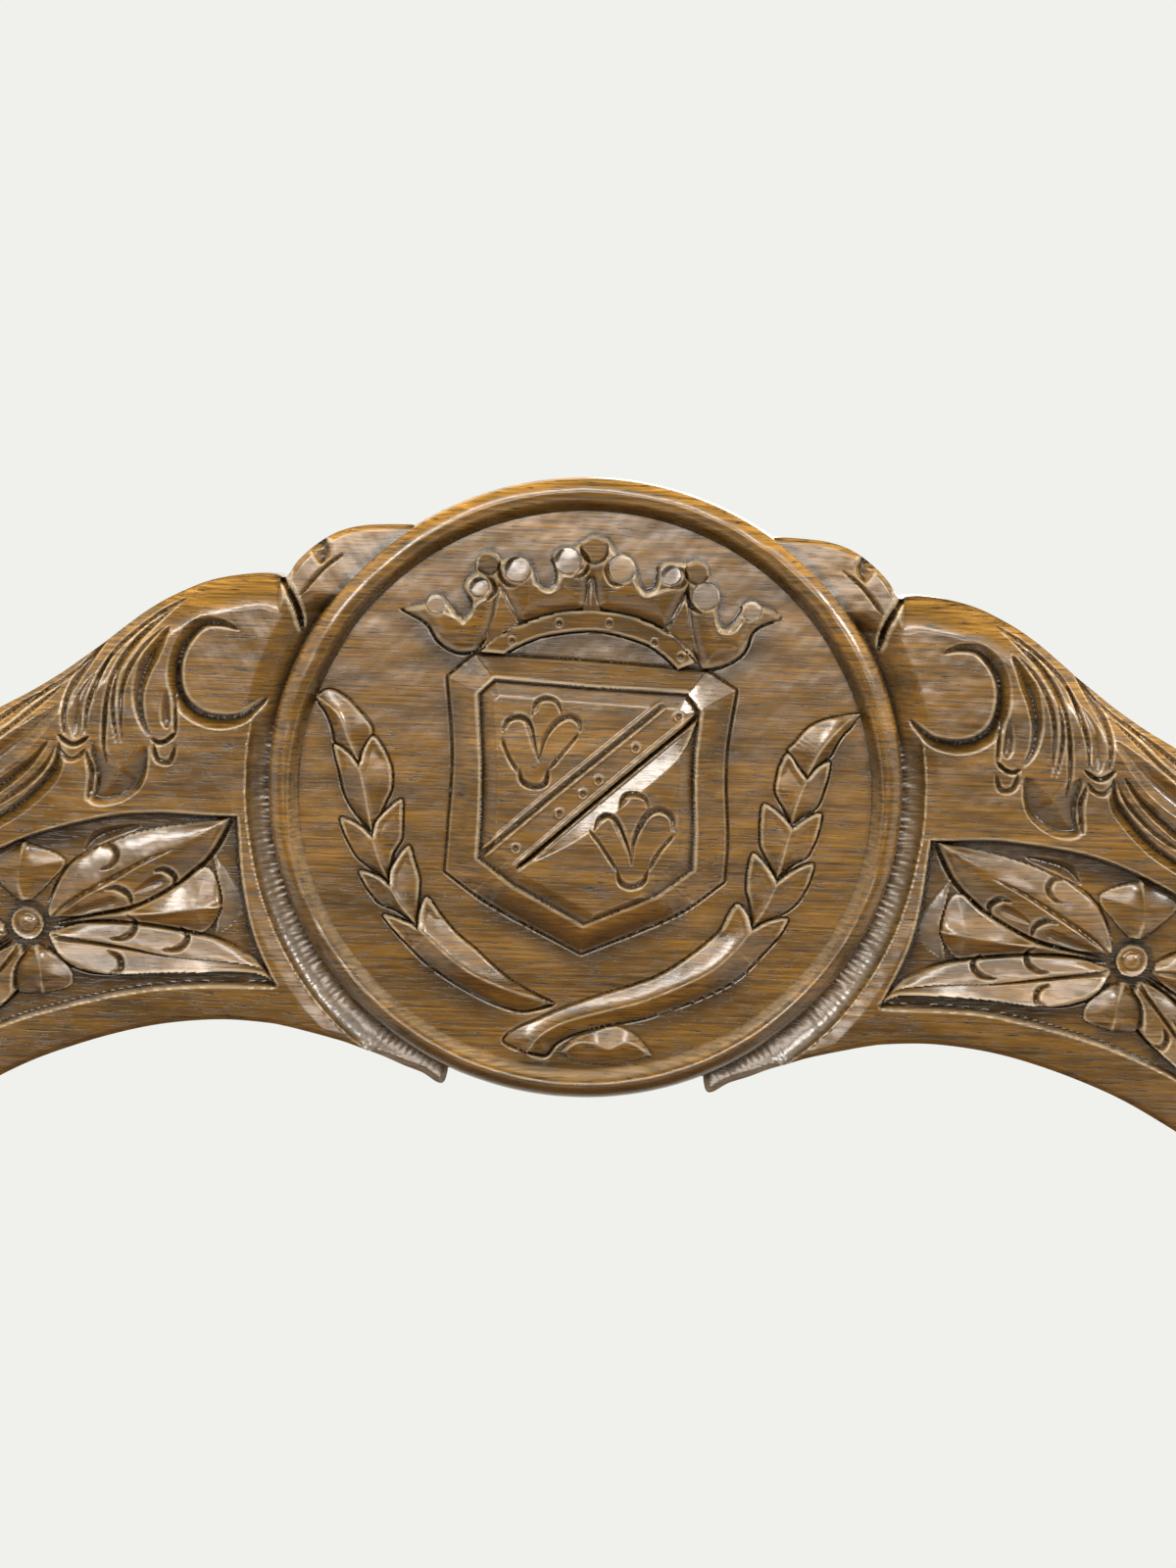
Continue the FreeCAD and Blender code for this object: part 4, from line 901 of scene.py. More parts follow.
@dataclass(frozen=True)
class Walnut:
    """Walnut, stained, waxed and worn: dark streaks along the fibres, satin sheen, cuts dark with staining
    and painted shade, pale arrises with wear and painted highlights.

    The real pores are about 0.2 mm wide. They are drawn wider here, so that they show in the render.
    """

    name: str
    grain: Grain
    light: str = "#9e732a"
    dark: str = "#36240a"
    # Colour of the pores and of the staining in the cuts, also used for painted shade in the cuts and painted
    # shadow under raised parts.
    stain_and_shade_tint: str = "#130b04"
    # Pale tone over the arrises: wear, and a painted highlight where the edges catch the light.
    worn_and_highlight_tint: str = "#d9c7a6"
    # Silvery tone over scored wood, which also stands in as painted sheen.
    silvered_and_sheen_tint: str = "#786e61"
    streak_mm: tuple[float, float] = (22.0, 0.7)
    band_mm: tuple[float, float] = (45.0, 12.0)
    pore_mm: tuple[float, float] = (7.0, 0.55)
    ring_share: float = 5.0
    carved: bool = False

    def scaled(self, size: tuple[float, float]) -> tuple[float, float, float]:
        """Gives a pattern's scale on each axis from its length along and width across the fibres, in mm.

        Args:
            size: The length and the width.

        Returns:
            Scale on the three axes.
        """
        along, through, across = self.grain.value
        scale = [0.0, 0.0, 0.0]
        scale[along] = 1 / (size[0] * MM)
        scale[through] = 1 / (size[1] * self.ring_share * MM)
        scale[across] = 1 / (size[1] * MM)
        return scale[0], scale[1], scale[2]

    def worn(self, tree: bpy.types.NodeTree, colour: bpy.types.Node,
             streak: bpy.types.NodeSocket) -> bpy.types.Node:
        """Lays staining and painted shade in the cuts, painted shadow in the hollows under raised parts, a
        silvery tone over scored wood that is partly painted sheen, and a worn pale tone over arrises that is
        partly painted highlight.

        Args:
            tree: Node tree of the material.
            colour: Node that gives the colour so far.
            streak: Streaks of the wood, which break the wear up.

        Returns:
            Node that gives the worn colour.
        """
        # Painted shadow under raised parts, silvery tone with painted sheen, staining with painted shade in
        # the cuts, wear with painted highlights on the arrises.
        for key, start, most, tint in (
                ("hollow", 0.04, 0.88, self.stain_and_shade_tint), ("scored", 0.0, 0.6, self.silvered_and_sheen_tint),
                ("stain_and_shade_mask", 0.08, 0.94, self.stain_and_shade_tint), ("arris_wear_and_highlight", 0.25, 0.6, self.worn_and_highlight_tint)):
            worn = add_node(tree, "ShaderNodeAttribute", attribute_name=key)
            share = add_node(tree, "ShaderNodeMapRange", {
                "Value": worn.outputs["Fac"], "From Min": start, "From Max": 1.0, "To Max": most})
            broken = add_node(tree, "ShaderNodeMapRange", {
                "Value": streak, "From Min": 0.32, "From Max": 0.62, "To Min": 0.4})
            part = add_node(tree, "ShaderNodeMath", {
                0: share.outputs[0], 1: broken.outputs[0]}, operation="MULTIPLY")
            colour = add_node(tree, "ShaderNodeMix", {
                "Factor": part.outputs[0], "A": colour.outputs["Result"], "B": linear(tint)},
                data_type="RGBA")
        return colour

    def build(self) -> bpy.types.Material:
        """Builds the material.

        Returns:
            The material.
        """
        material, tree = start_material(self.name)
        place = add_node(tree, "ShaderNodeTexCoord").outputs["Object"]
        maps = {}
        for key, size in (("streak", self.streak_mm), ("band", self.band_mm), ("pore", self.pore_mm)):
            spread = add_node(tree, "ShaderNodeMapping", {"Vector": place, "Scale": self.scaled(size)})
            maps[key] = add_node(tree, "ShaderNodeTexNoise", {
                "Vector": spread.outputs[0], "Scale": 1.0, "Detail": 3.0, "Roughness": 0.6}).outputs["Fac"]
        tone = add_node(tree, "ShaderNodeValToRGB", {"Fac": maps["streak"]})
        for stop, position, hue in zip(tone.color_ramp.elements, (0.26, 0.70), (self.dark, self.light)):
            stop.position = position
            stop.color = linear(hue)
        band = add_node(tree, "ShaderNodeMapRange", {
            "Value": maps["band"], "From Min": 0.3, "From Max": 0.7, "To Min": 0.5, "To Max": 1.3})
        shade = add_node(tree, "ShaderNodeMix", {
            "Factor": 1.0, "A": tone.outputs["Color"], "B": band.outputs[0]}, data_type="RGBA",
            blend_type="MULTIPLY")
        pore = add_node(tree, "ShaderNodeMapRange", {
            "Value": maps["pore"], "From Min": 0.55, "From Max": 0.68, "To Max": 0.85})
        colour = add_node(tree, "ShaderNodeMix", {
            "Factor": pore.outputs[0], "A": shade.outputs["Result"], "B": linear(self.stain_and_shade_tint)},
            data_type="RGBA")
        if self.carved:
            colour = self.worn(tree, colour, maps["streak"])
        gloss = add_node(tree, "ShaderNodeMapRange", {
            "Value": maps["streak"], "From Min": 0.3, "From Max": 0.7, "To Min": 0.30, "To Max": 0.22})
        bump = add_node(tree, "ShaderNodeBump", {
            "Strength": 0.15, "Distance": 0.2 * MM, "Height": maps["streak"]})
        bump = add_node(tree, "ShaderNodeBump", {
            "Strength": 0.4, "Distance": 0.12 * MM, "Height": pore.outputs[0], "Normal": bump.outputs[0]},
            invert=True)
        shader = add_node(tree, "ShaderNodeBsdfPrincipled", {
            "Base Color": colour.outputs["Result"], "Roughness": gloss.outputs[0], "Normal": bump.outputs[0],
            "IOR": 1.5, "Specular IOR Level": 0.7, "Coat Weight": 0.8, "Coat Roughness": 0.16})
        add_node(tree, "ShaderNodeOutputMaterial", {"Surface": shader.outputs[0]})
        return material


@dataclass
class CrestRoundel:
    """The carved roundel: a field with crown, shield and branches inside a rounded rim, sizes in mm."""

    centre_height: float = 870.0
    front: float = 232.0
    back: float = 242.0
    radius: float = 87.0
    oval: float = 1.02
    ground: float = -1.5
    branch_height: float = 3.6
    leaf_fall: float = 2.5
    leaf_tuck: float = 1.5
    crossing_height: float = 2.4
    frame_height: float = 4.5
    frame_fall: float = 4.3
    panel_height: float = 4.2
    crown_height: float = 5.0
    bowl_reach: float = 11.0
    valley_height: float = 2.0
    band_height: float = 3.0
    rim_crest: float = 90.6
    rim_lean: float = 0.016
    rim_waver: float = 0.0018
    chamfer: float = 0.1
    half_cells: int = 300
    rim_steps: int = 300

    def build(self, finish: bpy.types.Material) -> list[bpy.types.Object]:
        """Builds and dresses the field and the rim.

        Args:
            finish: Finish of carved wood.

        Returns:
            The field's quarters and the rim.
        """
        pieces = [*self.field_pieces(), self.rim_piece()]
        for piece in pieces:
            dress(piece, finish)
            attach(piece, "crest")
            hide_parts("crest_roundel")
        return pieces

    def field_pieces(self) -> list[bpy.types.Object]:
        """Carves the round field in four quarters.

        Returns:
            The four quarters.
        """
        half = self.half_cells
        width = 2 * half + 1
        x, z = round_grid(2 * half, self.radius)
        x = x * self.oval
        relief = Relief(x, z)
        self.carve(relief)
        # Staining with painted shade in the cuts, wear with painted highlights on the arrises, painted shadow
        # under raised parts.
        wear = relief.wear(width, near=4, wide=18)
        # Painted shadow along the field's edge under the rim, stronger towards the top.
        edge = np.clip((np.hypot(x / self.oval, z) - 84.6) / 1.2, 0, 1) * self.upper(z)
        wear["stain_and_shade_mask"] = np.maximum(wear["stain_and_shade_mask"], edge)
        places = np.stack([x, self.front - relief.h, z + self.centre_height], 1) * MM
        pieces = []
        for row, level in enumerate(("low", "high")):
            for column, side in enumerate(("left", "right")):
                kept = block_of(width, row * half, column * half, half, half)
                piece = grid_piece("crest_field_" + level + "_" + side, places[kept], half, half)
                close_back(piece, self.back * MM, self.chamfer * MM)
                store(piece, {key: values[kept] for key, values in wear.items()})
                pieces.append(piece)
        return pieces

    def upper(self, z: np.ndarray) -> np.ndarray:
        """Says how far places lie in the upper half, from 0 to 1."""
        return np.clip(0.35 + z / 60, 0, 1)

    def carve(self, relief: Relief) -> None:
        """Carves the whole field.

        Args:
            relief: The carved face.
        """
        relief.h += self.ground
        self.carve_branch(relief, LEFT_STEM, LEFT_LEAVES)
        self.carve_branch(relief, RIGHT_STEM, RIGHT_LEAVES)
        self.carve_shield(relief)
        self.carve_crown(relief)
        ridge, top, foot = [smooth_line(VIEW.mm(line)) for line in (
            CROSSING_LEAF_RIDGE, CROSSING_LEAF_TOP, CROSSING_LEAF_FOOT)]
        relief.facet(ridge, top, self.ground + self.crossing_height, 1.7)
        relief.facet(ridge, foot, self.ground + self.crossing_height, 2.0)
        relief.h += uneven(relief.x, relief.z, ((0.07, 15.0, 3), (0.02, 5.0, 4)))

    def carve_branch(self, relief: Relief, stem: Path, leaves: Sequence[Leaf]) -> None:
        """Carves one branch: each leaf falls away from the stem and dips under the next one.

        Args:
            relief: The carved face.
            stem: Line of the stem, in pixels.
            leaves: Its leaves.
        """
        stem_mm = VIEW.mm(stem)
        for leaf in leaves:
            tip = len(leaf.upper)
            edge = VIEW.mm([*leaf.upper, *leaf.outer])
            upper, outer = smooth_line(edge[:tip + 1]), smooth_line(edge[tip:])
            line = np.vstack([upper[:-1], outer])
            start, stop = [int(np.argmin([math.dist(p, q) for q in stem_mm])) for p in (edge[0], edge[-1])]
            hinge = smooth_line(stem_mm[start:stop + 1])
            at = relief.inside(np.vstack([hinge, line[::-1]]))
            high, along, _ = relief.offset(at, hinge)
            low = relief.offset(at, outer)[0]
            share = high / (high + low + TINY)
            base = self.ground + self.branch_height - self.leaf_fall * leaf.drop * share ** leaf.power
            base = base - self.leaf_tuck * np.clip((along - 0.4) / 0.6, 0, 1) ** 1.4
            if tip > 1:
                rise = relief.offset(at, upper)[0]
                base = base + 0.5 * np.clip(1 - rise / 2.5, 0, 1)
            relief.h[at] = base
            relief.carve(LEAF_LINE.along(line[::4]))

    def carve_shield(self, relief: Relief) -> None:
        """Carves the shield: sloped frame, sunk field, double-grooved bend and two lilies.

        Args:
            relief: The carved face.
        """
        outer = np.array(VIEW.mm(SHIELD_OUTER))
        ridge = np.array(VIEW.mm(SHIELD_RIDGE))
        ring = [*range(len(outer)), 0]
        for first, last in SHIELD_FACETS:
            run = ring[first:last + 1]
            relief.facet(ridge[run], outer[run], self.ground + self.frame_height, self.frame_fall)
            relief.carve(FRAME_LINE.along(outer[run]))
        at = relief.inside(ridge)
        sides = relief.offset(at, np.vstack([ridge[SHIELD_POINT:], ridge[:SHIELD_POINT]]))[0]
        feet = relief.offset(at, ridge[SHIELD_POINT - 2:SHIELD_POINT + 3])[0]
        side_fall = 2.2 * np.clip(1 - (sides - 0.4) / 4.6, 0, 1)
        foot_fall = 1.5 * np.clip(1 - (feet - 0.3) / 1.8, 0, 1)
        fall = np.maximum(side_fall, foot_fall)
        panel = self.ground + self.panel_height
        relief.h[at] = panel - np.where(np.minimum(sides, feet) < 0.3, 0.6, fall)
        bend = smooth_line(VIEW.mm(BEND_LOWER))
        scoop = smooth_line(VIEW.mm([BEND_LOWER[0], *BEND_SCOOP, BEND_LOWER[-1]]))
        relief.facet(bend, scoop, panel - 2.5, -2.5)
        for line in (BEND_UPPER, BEND_LOWER):
            for shift, tool in ((0.0, BEND_GROOVE), (-1.3, BEND_LIP), (1.3, BEND_LIP)):
                cut = [(x + shift * BEND_ACROSS[0], z + shift * BEND_ACROSS[1]) for x, z in VIEW.mm(line)]
                relief.carve(tool.along(cut))
        for dot in BEND_DOTS:
            self.dot(relief, dot)
        for lily in LILIES:
            self.carve_lily(relief, lily)

    def carve_lily(self, relief: Relief, lily: Lily) -> None:
        """Carves one lily, with a raised lip inside each lobe.

        Args:
            relief: The carved face.
            lily: The lily.
        """
        for lobe in lily.lobes:
            relief.carve(LOBE_CUT.along(VIEW.mm(lobe)))
            relief.carve(LOBE_LIP.along([(x, z - 1.3) for x, z in VIEW.mm(lobe)]))
        for side in lily.sides:
            relief.carve(LILY_SIDE.along(VIEW.mm(side)))
        relief.carve(LILY_CUP.along(VIEW.mm(lily.cup)))

    def dot(self, relief: Relief, place: Point) -> None:
        """Punches one small dot with a raised lip.

        Args:
            relief: The carved face.
            place: Middle of the dot, in pixels.
        """
        x, z = VIEW.mm([place])[0]
        at = relief.near(np.array([[x, z]]), 2.2)
        dist = np.hypot(relief.x[at] - x, relief.z[at] - z)
        relief.h[at] += 0.25 * np.exp(-((dist - 1.25) / 0.4) ** 2) - 0.8 * np.exp(-(dist / 0.75) ** 2)

    def carve_crown(self, relief: Relief) -> None:
        """Carves the crown: a bowed body with four cups, balls and knobs over an arched band.

        Args:
            relief: The carved face.
        """
        body = np.array(VIEW.mm([*CROWN_TOP, *CROWN_FOOT[-2:0:-1]]))
        foot = smooth_line(VIEW.mm(CROWN_FOOT))
        at = relief.inside(body)
        dist = np.min([relief.offset(at, smooth_line(VIEW.mm(bowl)))[0] for bowl in CROWN_BOWLS], axis=0)
        bow = np.sqrt(1 - (1 - np.clip(dist / self.bowl_reach, 0, 1)) ** 2)
        relief.h[at] = self.ground + 0.1 + self.crown_height * bow
        edge = relief.offset(at, np.vstack([body, body[:1]]))[0]
        floor = self.ground + self.valley_height * np.clip((edge - 0.5) / 1.5, 0, 1)
        relief.h[at] = np.maximum(relief.h[at], floor)
        rise = relief.offset(at, np.array(VIEW.mm(CROWN_TOP)))[0]
        relief.h[at] -= 1.4 * np.clip(1 - rise / 1.1, 0, 1)
        for valley in CROWN_VALLEYS:
            outline = np.array(VIEW.mm(valley))
            at = relief.inside(outline)
            low, high = outline[:, 1].min(), outline[:, 1].max()
            relief.h[at] = self.ground + self.valley_height + 1.3 * (relief.z[at] - low) / (high - low)
        for crease in CROWN_CREASES:
            relief.carve(CROWN_CREASE.along(VIEW.mm(crease)))
        for cup in CROWN_CUPS:
            relief.carve(CROWN_CUP_LIP.along(VIEW.mm(cup)))
        for notch in CROWN_NOTCHES:
            relief.plate(smooth_line(VIEW.mm(notch), closed=True), self.ground, 1.1)
        for place, radius in CROWN_KNOBS:
            relief.disc(VIEW.mm([place])[0], radius * VIEW.mm_per_pixel, self.ground + 3.3, 0.3, (0.0, 0.3))
        for place, radius, (aside, down) in CROWN_BALLS:
            relief.disc(VIEW.mm([place])[0], radius * VIEW.mm_per_pixel, self.ground + 2.9, -0.15,
                        (aside, -down))
        for crescent in CROWN_CRESCENTS:
            relief.carve(CRESCENT_CUT.along(VIEW.mm(crescent)))
        outer, inner = [smooth_line(VIEW.mm(line)) for line in (BAND_OUTER, BAND_INNER)]
        relief.facet(outer, inner, self.ground + self.band_height, 1.2)
        for line in (VIEW.mm(BAND_INNER), *[foot[end] for end in CROWN_FOOT_ENDS]):
            relief.carve(BAND_LINE.along(line))
        for dot in BAND_DOTS:
            self.dot(relief, dot)

    def rim_piece(self) -> bpy.types.Object:
        """Turns the rim from its profile and leaves it slightly uneven.

        Returns:
            The rim.
        """
        profile = [RIM_INNER, *smooth_line(RIM_BEAD, 4), *RIM_BACK]
        bpy.ops.object.select_all(action="DESELECT")
        bpy.ops.mesh.primitive_circle_add(vertices=len(profile), radius=1.0, fill_type="NOTHING")
        piece = bpy.context.object
        piece.name = piece.data.name = "crest_roundel_rim"
        for vert, (r, h) in zip(piece.data.vertices, profile):
            vert.co = (r * MM, (self.front - h) * MM, self.centre_height * MM)
        bpy.ops.object.mode_set(mode="EDIT")
        bpy.ops.mesh.select_all(action="SELECT")
        middle = (0, 0, self.centre_height * MM)
        bpy.ops.mesh.spin(steps=self.rim_steps, angle=math.tau, center=middle, axis=(0, 1, 0))
        bpy.ops.mesh.select_all(action="SELECT")
        bpy.ops.mesh.remove_doubles(threshold=0.02 * MM)
        bpy.ops.mesh.normals_make_consistent(inside=False)
        bpy.ops.object.mode_set(mode="OBJECT")
        co = np.empty(len(piece.data.vertices) * 3, np.float32)
        piece.data.vertices.foreach_get("co", co)
        co = co.reshape(-1, 3) / MM
        x, z = co[:, 0].astype(float), co[:, 2].astype(float) - self.centre_height
        push = uneven(x, z, ((0.22, 22.0, 8), (0.10, 7.0, 9)))
        front = co[:, 1] < self.front + 1.5
        depth = self.front - co[:, 1]
        reach, upper = np.hypot(x, z), self.upper(z)
        inside = reach < self.rim_crest
        bevel = (reach > self.radius) & inside & front
        steep = 1 - self.rim_lean * upper * bevel
        co[:, 0] = x * steep * (1 + self.rim_waver * ripple(x, z, 30.0, 11)) * self.oval
        co[:, 2] = z * steep + self.centre_height
        co[:, 1] -= np.where(front, push, 0)
        piece.data.vertices.foreach_set("co", (co * MM).astype(np.float32).ravel())
        # Painted shade on the bead's outer side in the lower half.
        under = 0.85 * np.clip((reach - 90.5) / 2, 0, 1) * np.clip(-z / 70 - 0.2, 0, 1)
        # Painted shadow inside the top of the rim, in the upper half.
        stain_and_shade_mask = np.maximum(under, inside * np.clip((3.2 - depth) / 2.0, 0, 1) * upper)
        # Painted highlight on the inner bevel in the lower half, partly worn wood.
        arris_wear_and_highlight = 0.6 * inside * np.clip(1.6 - np.abs(depth - 0.7) / 1.9, 0, 1) * (1 - upper)
        store(piece, {"stain_and_shade_mask": stain_and_shade_mask, "arris_wear_and_highlight": arris_wear_and_highlight})
        select_only(piece)
        bpy.ops.object.shade_smooth_by_angle(angle=SMOOTH_ANGLE)
        return piece


class Hand(Enum):
    """Which side of the chair, as someone who looks at its front sees it."""

    LEFT = -1
    RIGHT = 1


@dataclass
class CrestWing:
    """One carved half of the crest rail, from the middle to the prong over the arm, sizes in mm."""

    hand: Hand
    centre_height: float = 870.0
    front: float = 232.0
    back: float = 262.0
    outer: float = 313.0
    ear: tuple[float, float, float] = (284.0, -40.0, 29.0)
    foot_inner: float = 253.0
    foot_bottom: float = -169.8
    waist: float = 6.0
    half_rows: int = 200
    rim_radius: float = 96.2
    oval: float = 1.02
    vigour: float = 1.45
    hand_drift: float = 0.35
    column_runs: tuple[tuple[float, float, int], ...] = (
        (0, 38, 7), (38, 186, 376), (186, 252.4, 46), (252.4, 253.2, 3), (253.2, 309, 40))
    edge_round: float = 4.0
    shoulder_start: float = 92.0
    shoulder_reach: Point = (2.0, 8.8)
    shoulder_depth: Point = (1.6, 5.4)
    cove_depth: float = 4.4
    nose_depth: float = 4.6
    nose_reach: float = 9.5
    panel_level: float = -4.0
    far_petal_turn: float = math.radians(-44.4)
    far_petal_size: float = 0.88
    chamfer: float = 0.15

    def build(self, finish: bpy.types.Material) -> list[bpy.types.Object]:
        """Builds and dresses the wing's lower and upper part.

        Args:
            finish: Finish of carved wood.

        Returns:
            The lower and the upper part.
        """
        runs = [np.linspace(*run)[:-1] for run in self.column_runs]
        end = self.outer - self.edge_round * np.cos(np.linspace(0, math.pi / 2, 9))
        columns = np.concatenate([*runs, end])
        top, foot = self.edges(columns)
        share = np.linspace(0, 1, 2 * self.half_rows + 1)[:, None]
        z = foot[None, :] + share * (top - foot)[None, :]
        x = np.broadcast_to(columns[None, :], z.shape).copy()
        mid = (self.ear[1] + self.foot_bottom) / 2
        curve = np.clip(1 - ((z - mid) / (self.ear[1] - mid)) ** 2, 0, 1)
        x -= self.waist * curve * np.clip((x - self.foot_inner) / (self.outer - self.foot_inner), 0, 1) ** 2
        relief = Relief(x.ravel(), z.ravel())
        self.carve(relief, columns, top, foot)
        wear = self.wear_of(relief, len(columns), (z - foot[None, :]).ravel())
        places = np.stack([
            self.hand.value * relief.x, self.front - relief.h, relief.z + self.centre_height], 1) * MM
        pieces = []
        for part, level in enumerate(("low", "high")):
            kept = block_of(len(columns), part * self.half_rows, 0, self.half_rows, len(columns) - 1)
            name = "crest_wing_" + level + "_" + self.hand.name.lower()
            piece = grid_piece(name, places[kept], len(columns) - 1, self.half_rows)
            close_back(piece, self.back * MM, self.chamfer * MM)
            store(piece, {key: values[kept] for key, values in wear.items()})
            dress(piece, finish)
            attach(piece, "crest")
            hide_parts("crest_rail")
            pieces.append(piece)
        return pieces

    def wear_of(self, relief: Relief, columns: int, low: np.ndarray) -> dict[str, np.ndarray]:
        """Finds the staining and painted shade, the worn edges with painted highlights and the silvery
        scoring with painted sheen of the wing.

        Args:
            relief: The carved face.
            columns: Places in a row of the grid.
            low: How far each place lies over the bottom edge, in mm.

        Returns:
            Shares from 0 to 1 for the finish to read.
        """
        # Staining with painted shade in the cuts, wear with painted highlights on the arrises, painted shadow
        # under raised parts.
        wear = relief.wear(columns, near=3, wide=13)
        gap, width = self.beside_rim(relief)
        flower = VIEW.wing_mm([FLOWER])[0]
        ring = np.hypot(relief.x - flower[0], relief.z - flower[1])
        # Painted shade along the crease beside the rim; the same mask darkens the sunk ring round the
        # flower's boss.
        dark = np.maximum(np.clip(1.2 - gap / 2.0, 0, 1), np.clip(1.3 - np.abs(ring - 6.1) / 1.3, 0, 1))
        wear["stain_and_shade_mask"] = np.maximum(wear["stain_and_shade_mask"], dark)
        # Painted shade: darker towards the bottom edge.
        wear["hollow"] = np.maximum(wear["hollow"], 0.5 * np.clip(1 - low / 12, 0, 1))
        # Silvery tone on the lower cove, more towards the bottom, and in the tulip's scoop: scored wood and
        # painted sheen.
        beside, down = np.clip((width - gap) / 1.5, 0, 1), np.clip((30 - relief.z) / 50, 0, 1)
        wear["scored"] = beside * down * (gap > 1.5)
        scoop = np.vstack([smooth_line(VIEW.wing_mm(TULIP_SCOOP_INNER)),
                           smooth_line(VIEW.wing_mm(TULIP_SCOOP_OUTER))[::-1]])
        wear["scored"][relief.inside(scoop)] = 0.9
        return wear

    def edges(self, columns: np.ndarray) -> tuple[np.ndarray, np.ndarray]:
        """Gives the height of the top and bottom edge over each column, in mm from the roundel's centre.

        Args:
            columns: Places of the columns, in mm outwards.

        Returns:
            The top edge and the bottom edge.
        """
        tops = smooth_line(TOP_EDGE)
        feet = smooth_line(FOOT_EDGE)
        top = np.interp(columns, tops[:, 0], tops[:, 1])
        ear_x, ear_z, ear_r = self.ear
        over = columns > TOP_EDGE[-1][0]
        top[over] = ear_z + np.sqrt(np.clip(ear_r ** 2 - (columns[over] - ear_x) ** 2, 0, None))
        foot = np.interp(columns, feet[:, 0], feet[:, 1])
        foot[columns >= self.foot_inner] = self.foot_bottom
        return top, foot

    def carve(self, relief: Relief, columns: np.ndarray, top: np.ndarray, foot: np.ndarray) -> None:
        """Carves the wing's face.

        Args:
            relief: The carved face.
            columns: Places of the columns.
            top: Top edge over them.
            foot: Bottom edge under them.
        """
        seed = 20 + self.hand.value
        x, z = relief.x.copy(), relief.z.copy()
        relief.x = x + self.hand_drift * ripple(x, z, 40.0, seed)
        relief.z = z + self.hand_drift * ripple(x, z, 40.0, seed + 5)
        for stroke in WING_STROKES:
            self.carve_pixels(relief, stroke)
        self.carve_panel(relief)
        for stroke in OUTER_STROKES:
            relief.carve(stroke)
        relief.x, relief.z = x, z
        self.round_edges(relief, columns, top, foot)
        for stroke in TUCKED_LEAF_STROKES:
            self.carve_pixels(relief, stroke)
        self.carve_cove(relief)
        relief.h += uneven(x, z, ((0.08, 13.0, seed + 9), (0.025, 4.5, seed + 12)))

    def carve_pixels(self, relief: Relief, stroke: Stroke) -> None:
        """Carves a stroke that is placed by the photograph."""
        relief.carve(stroke.along(VIEW.wing_mm(stroke.path), vigour=self.vigour))

    def round_edges(self, relief: Relief, columns: np.ndarray, top: np.ndarray, foot: np.ndarray) -> None:
        """Rounds the shoulder over, the tucked leaf and the bottom edge a little.

        Args:
            relief: The carved face.
            columns: Places of the columns.
            top: Top edge over them.
            foot: Bottom edge under them.
        """
        edge = np.stack([columns, top], 1)
        under = np.stack([columns, foot], 1)
        at = np.arange(len(relief.x))
        dist = relief.offset(at, edge)[0]
        shoulder = np.clip((relief.x - self.shoulder_start) / 4, 0, 1)
        taper = np.clip((270 - relief.x) / 60, 0.35, 1)
        reach = self.shoulder_reach[0] + self.shoulder_reach[1] * shoulder * taper
        depth = self.shoulder_depth[0] + self.shoulder_depth[1] * shoulder * taper
        relief.h -= depth * np.clip(1 - dist / reach, 0, 1) ** 1.5
        low = relief.offset(at, under)[0]
        relief.h -= 1.0 * np.clip(1 - low / 2.2, 0, 1) ** 1.8
        side = np.clip(1 - (self.outer - relief.x) / 3.0, 0, 1)
        relief.h -= 1.2 * side ** 1.8

    def beside_rim(self, relief: Relief) -> tuple[np.ndarray, np.ndarray]:
        """Gives how far each place lies outside the roundel's rim, and how wide the cove is there, in mm."""
        gap = np.hypot(relief.x / self.oval, relief.z) - self.rim_radius
        return gap, 6.6 + 2.4 * np.clip((-relief.z - 20) / 50, 0, 1)

    def carve_cove(self, relief: Relief) -> None:
        """Cuts the hollow beside the rim: a scored cove low down, and the shoulder's rounded nose above it.

        Args:
            relief: The carved face.
        """
        z = relief.z
        gap, width = self.beside_rim(relief)
        angle = np.arctan2(z, relief.x / self.oval)
        share = np.clip(gap / width, 0, 1)
        score = 0.06 * ripple(angle * 100, gap * 0.35, 1.7, 31) * (share < 1)
        cove = -self.cove_depth * np.sqrt(1 - share ** 2) + score
        nose = -self.nose_depth * np.clip(1 - gap / self.nose_reach, 0, 1) ** 1.4
        lip = -0.8 * np.clip(1 - (gap - width) / 4.0, 0, 1)
        upper = np.clip((z - 12) / 10, 0, 1)
        tucked = np.clip((z - 52) / 6, 0, 1)
        blend = (cove + lip * (share >= 1)) * (1 - upper) + nose * upper * (1 - tucked)
        blend += tucked * (0.8 - 0.04 * gap)
        relief.h += np.where(gap > -3, blend, -self.cove_depth)

    def carve_panel(self, relief: Relief) -> None:
        """Sinks the panel and carves its flower: long petals, tulips, short petals and a ringed boss.

        Args:
            relief: The carved face.
        """
        outline = np.vstack([smooth_line(arc)[:-1] for arc in PANEL_ARCS])
        relief.plate(outline, self.panel_level, 1.2)
        for place, flip in ((self.far_petal, -1.0), (VIEW.wing_mm, 1.0)):
            for facet in LONG_PETALS:
                self.carve_facet(relief, facet, place)
            for stroke in PETAL_STROKES:
                relief.carve(stroke.along(place(stroke.path), flip=flip))
            for eyelet in EYELETS:
                relief.carve(EYELET_CUT.along(place(eyelet)))
        for facet in SHORT_PETALS:
            self.carve_facet(relief, facet, VIEW.wing_mm)
        for radius, level, dome in FLOWER_BOSS:
            relief.disc(VIEW.wing_mm([FLOWER])[0], radius, level, dome)

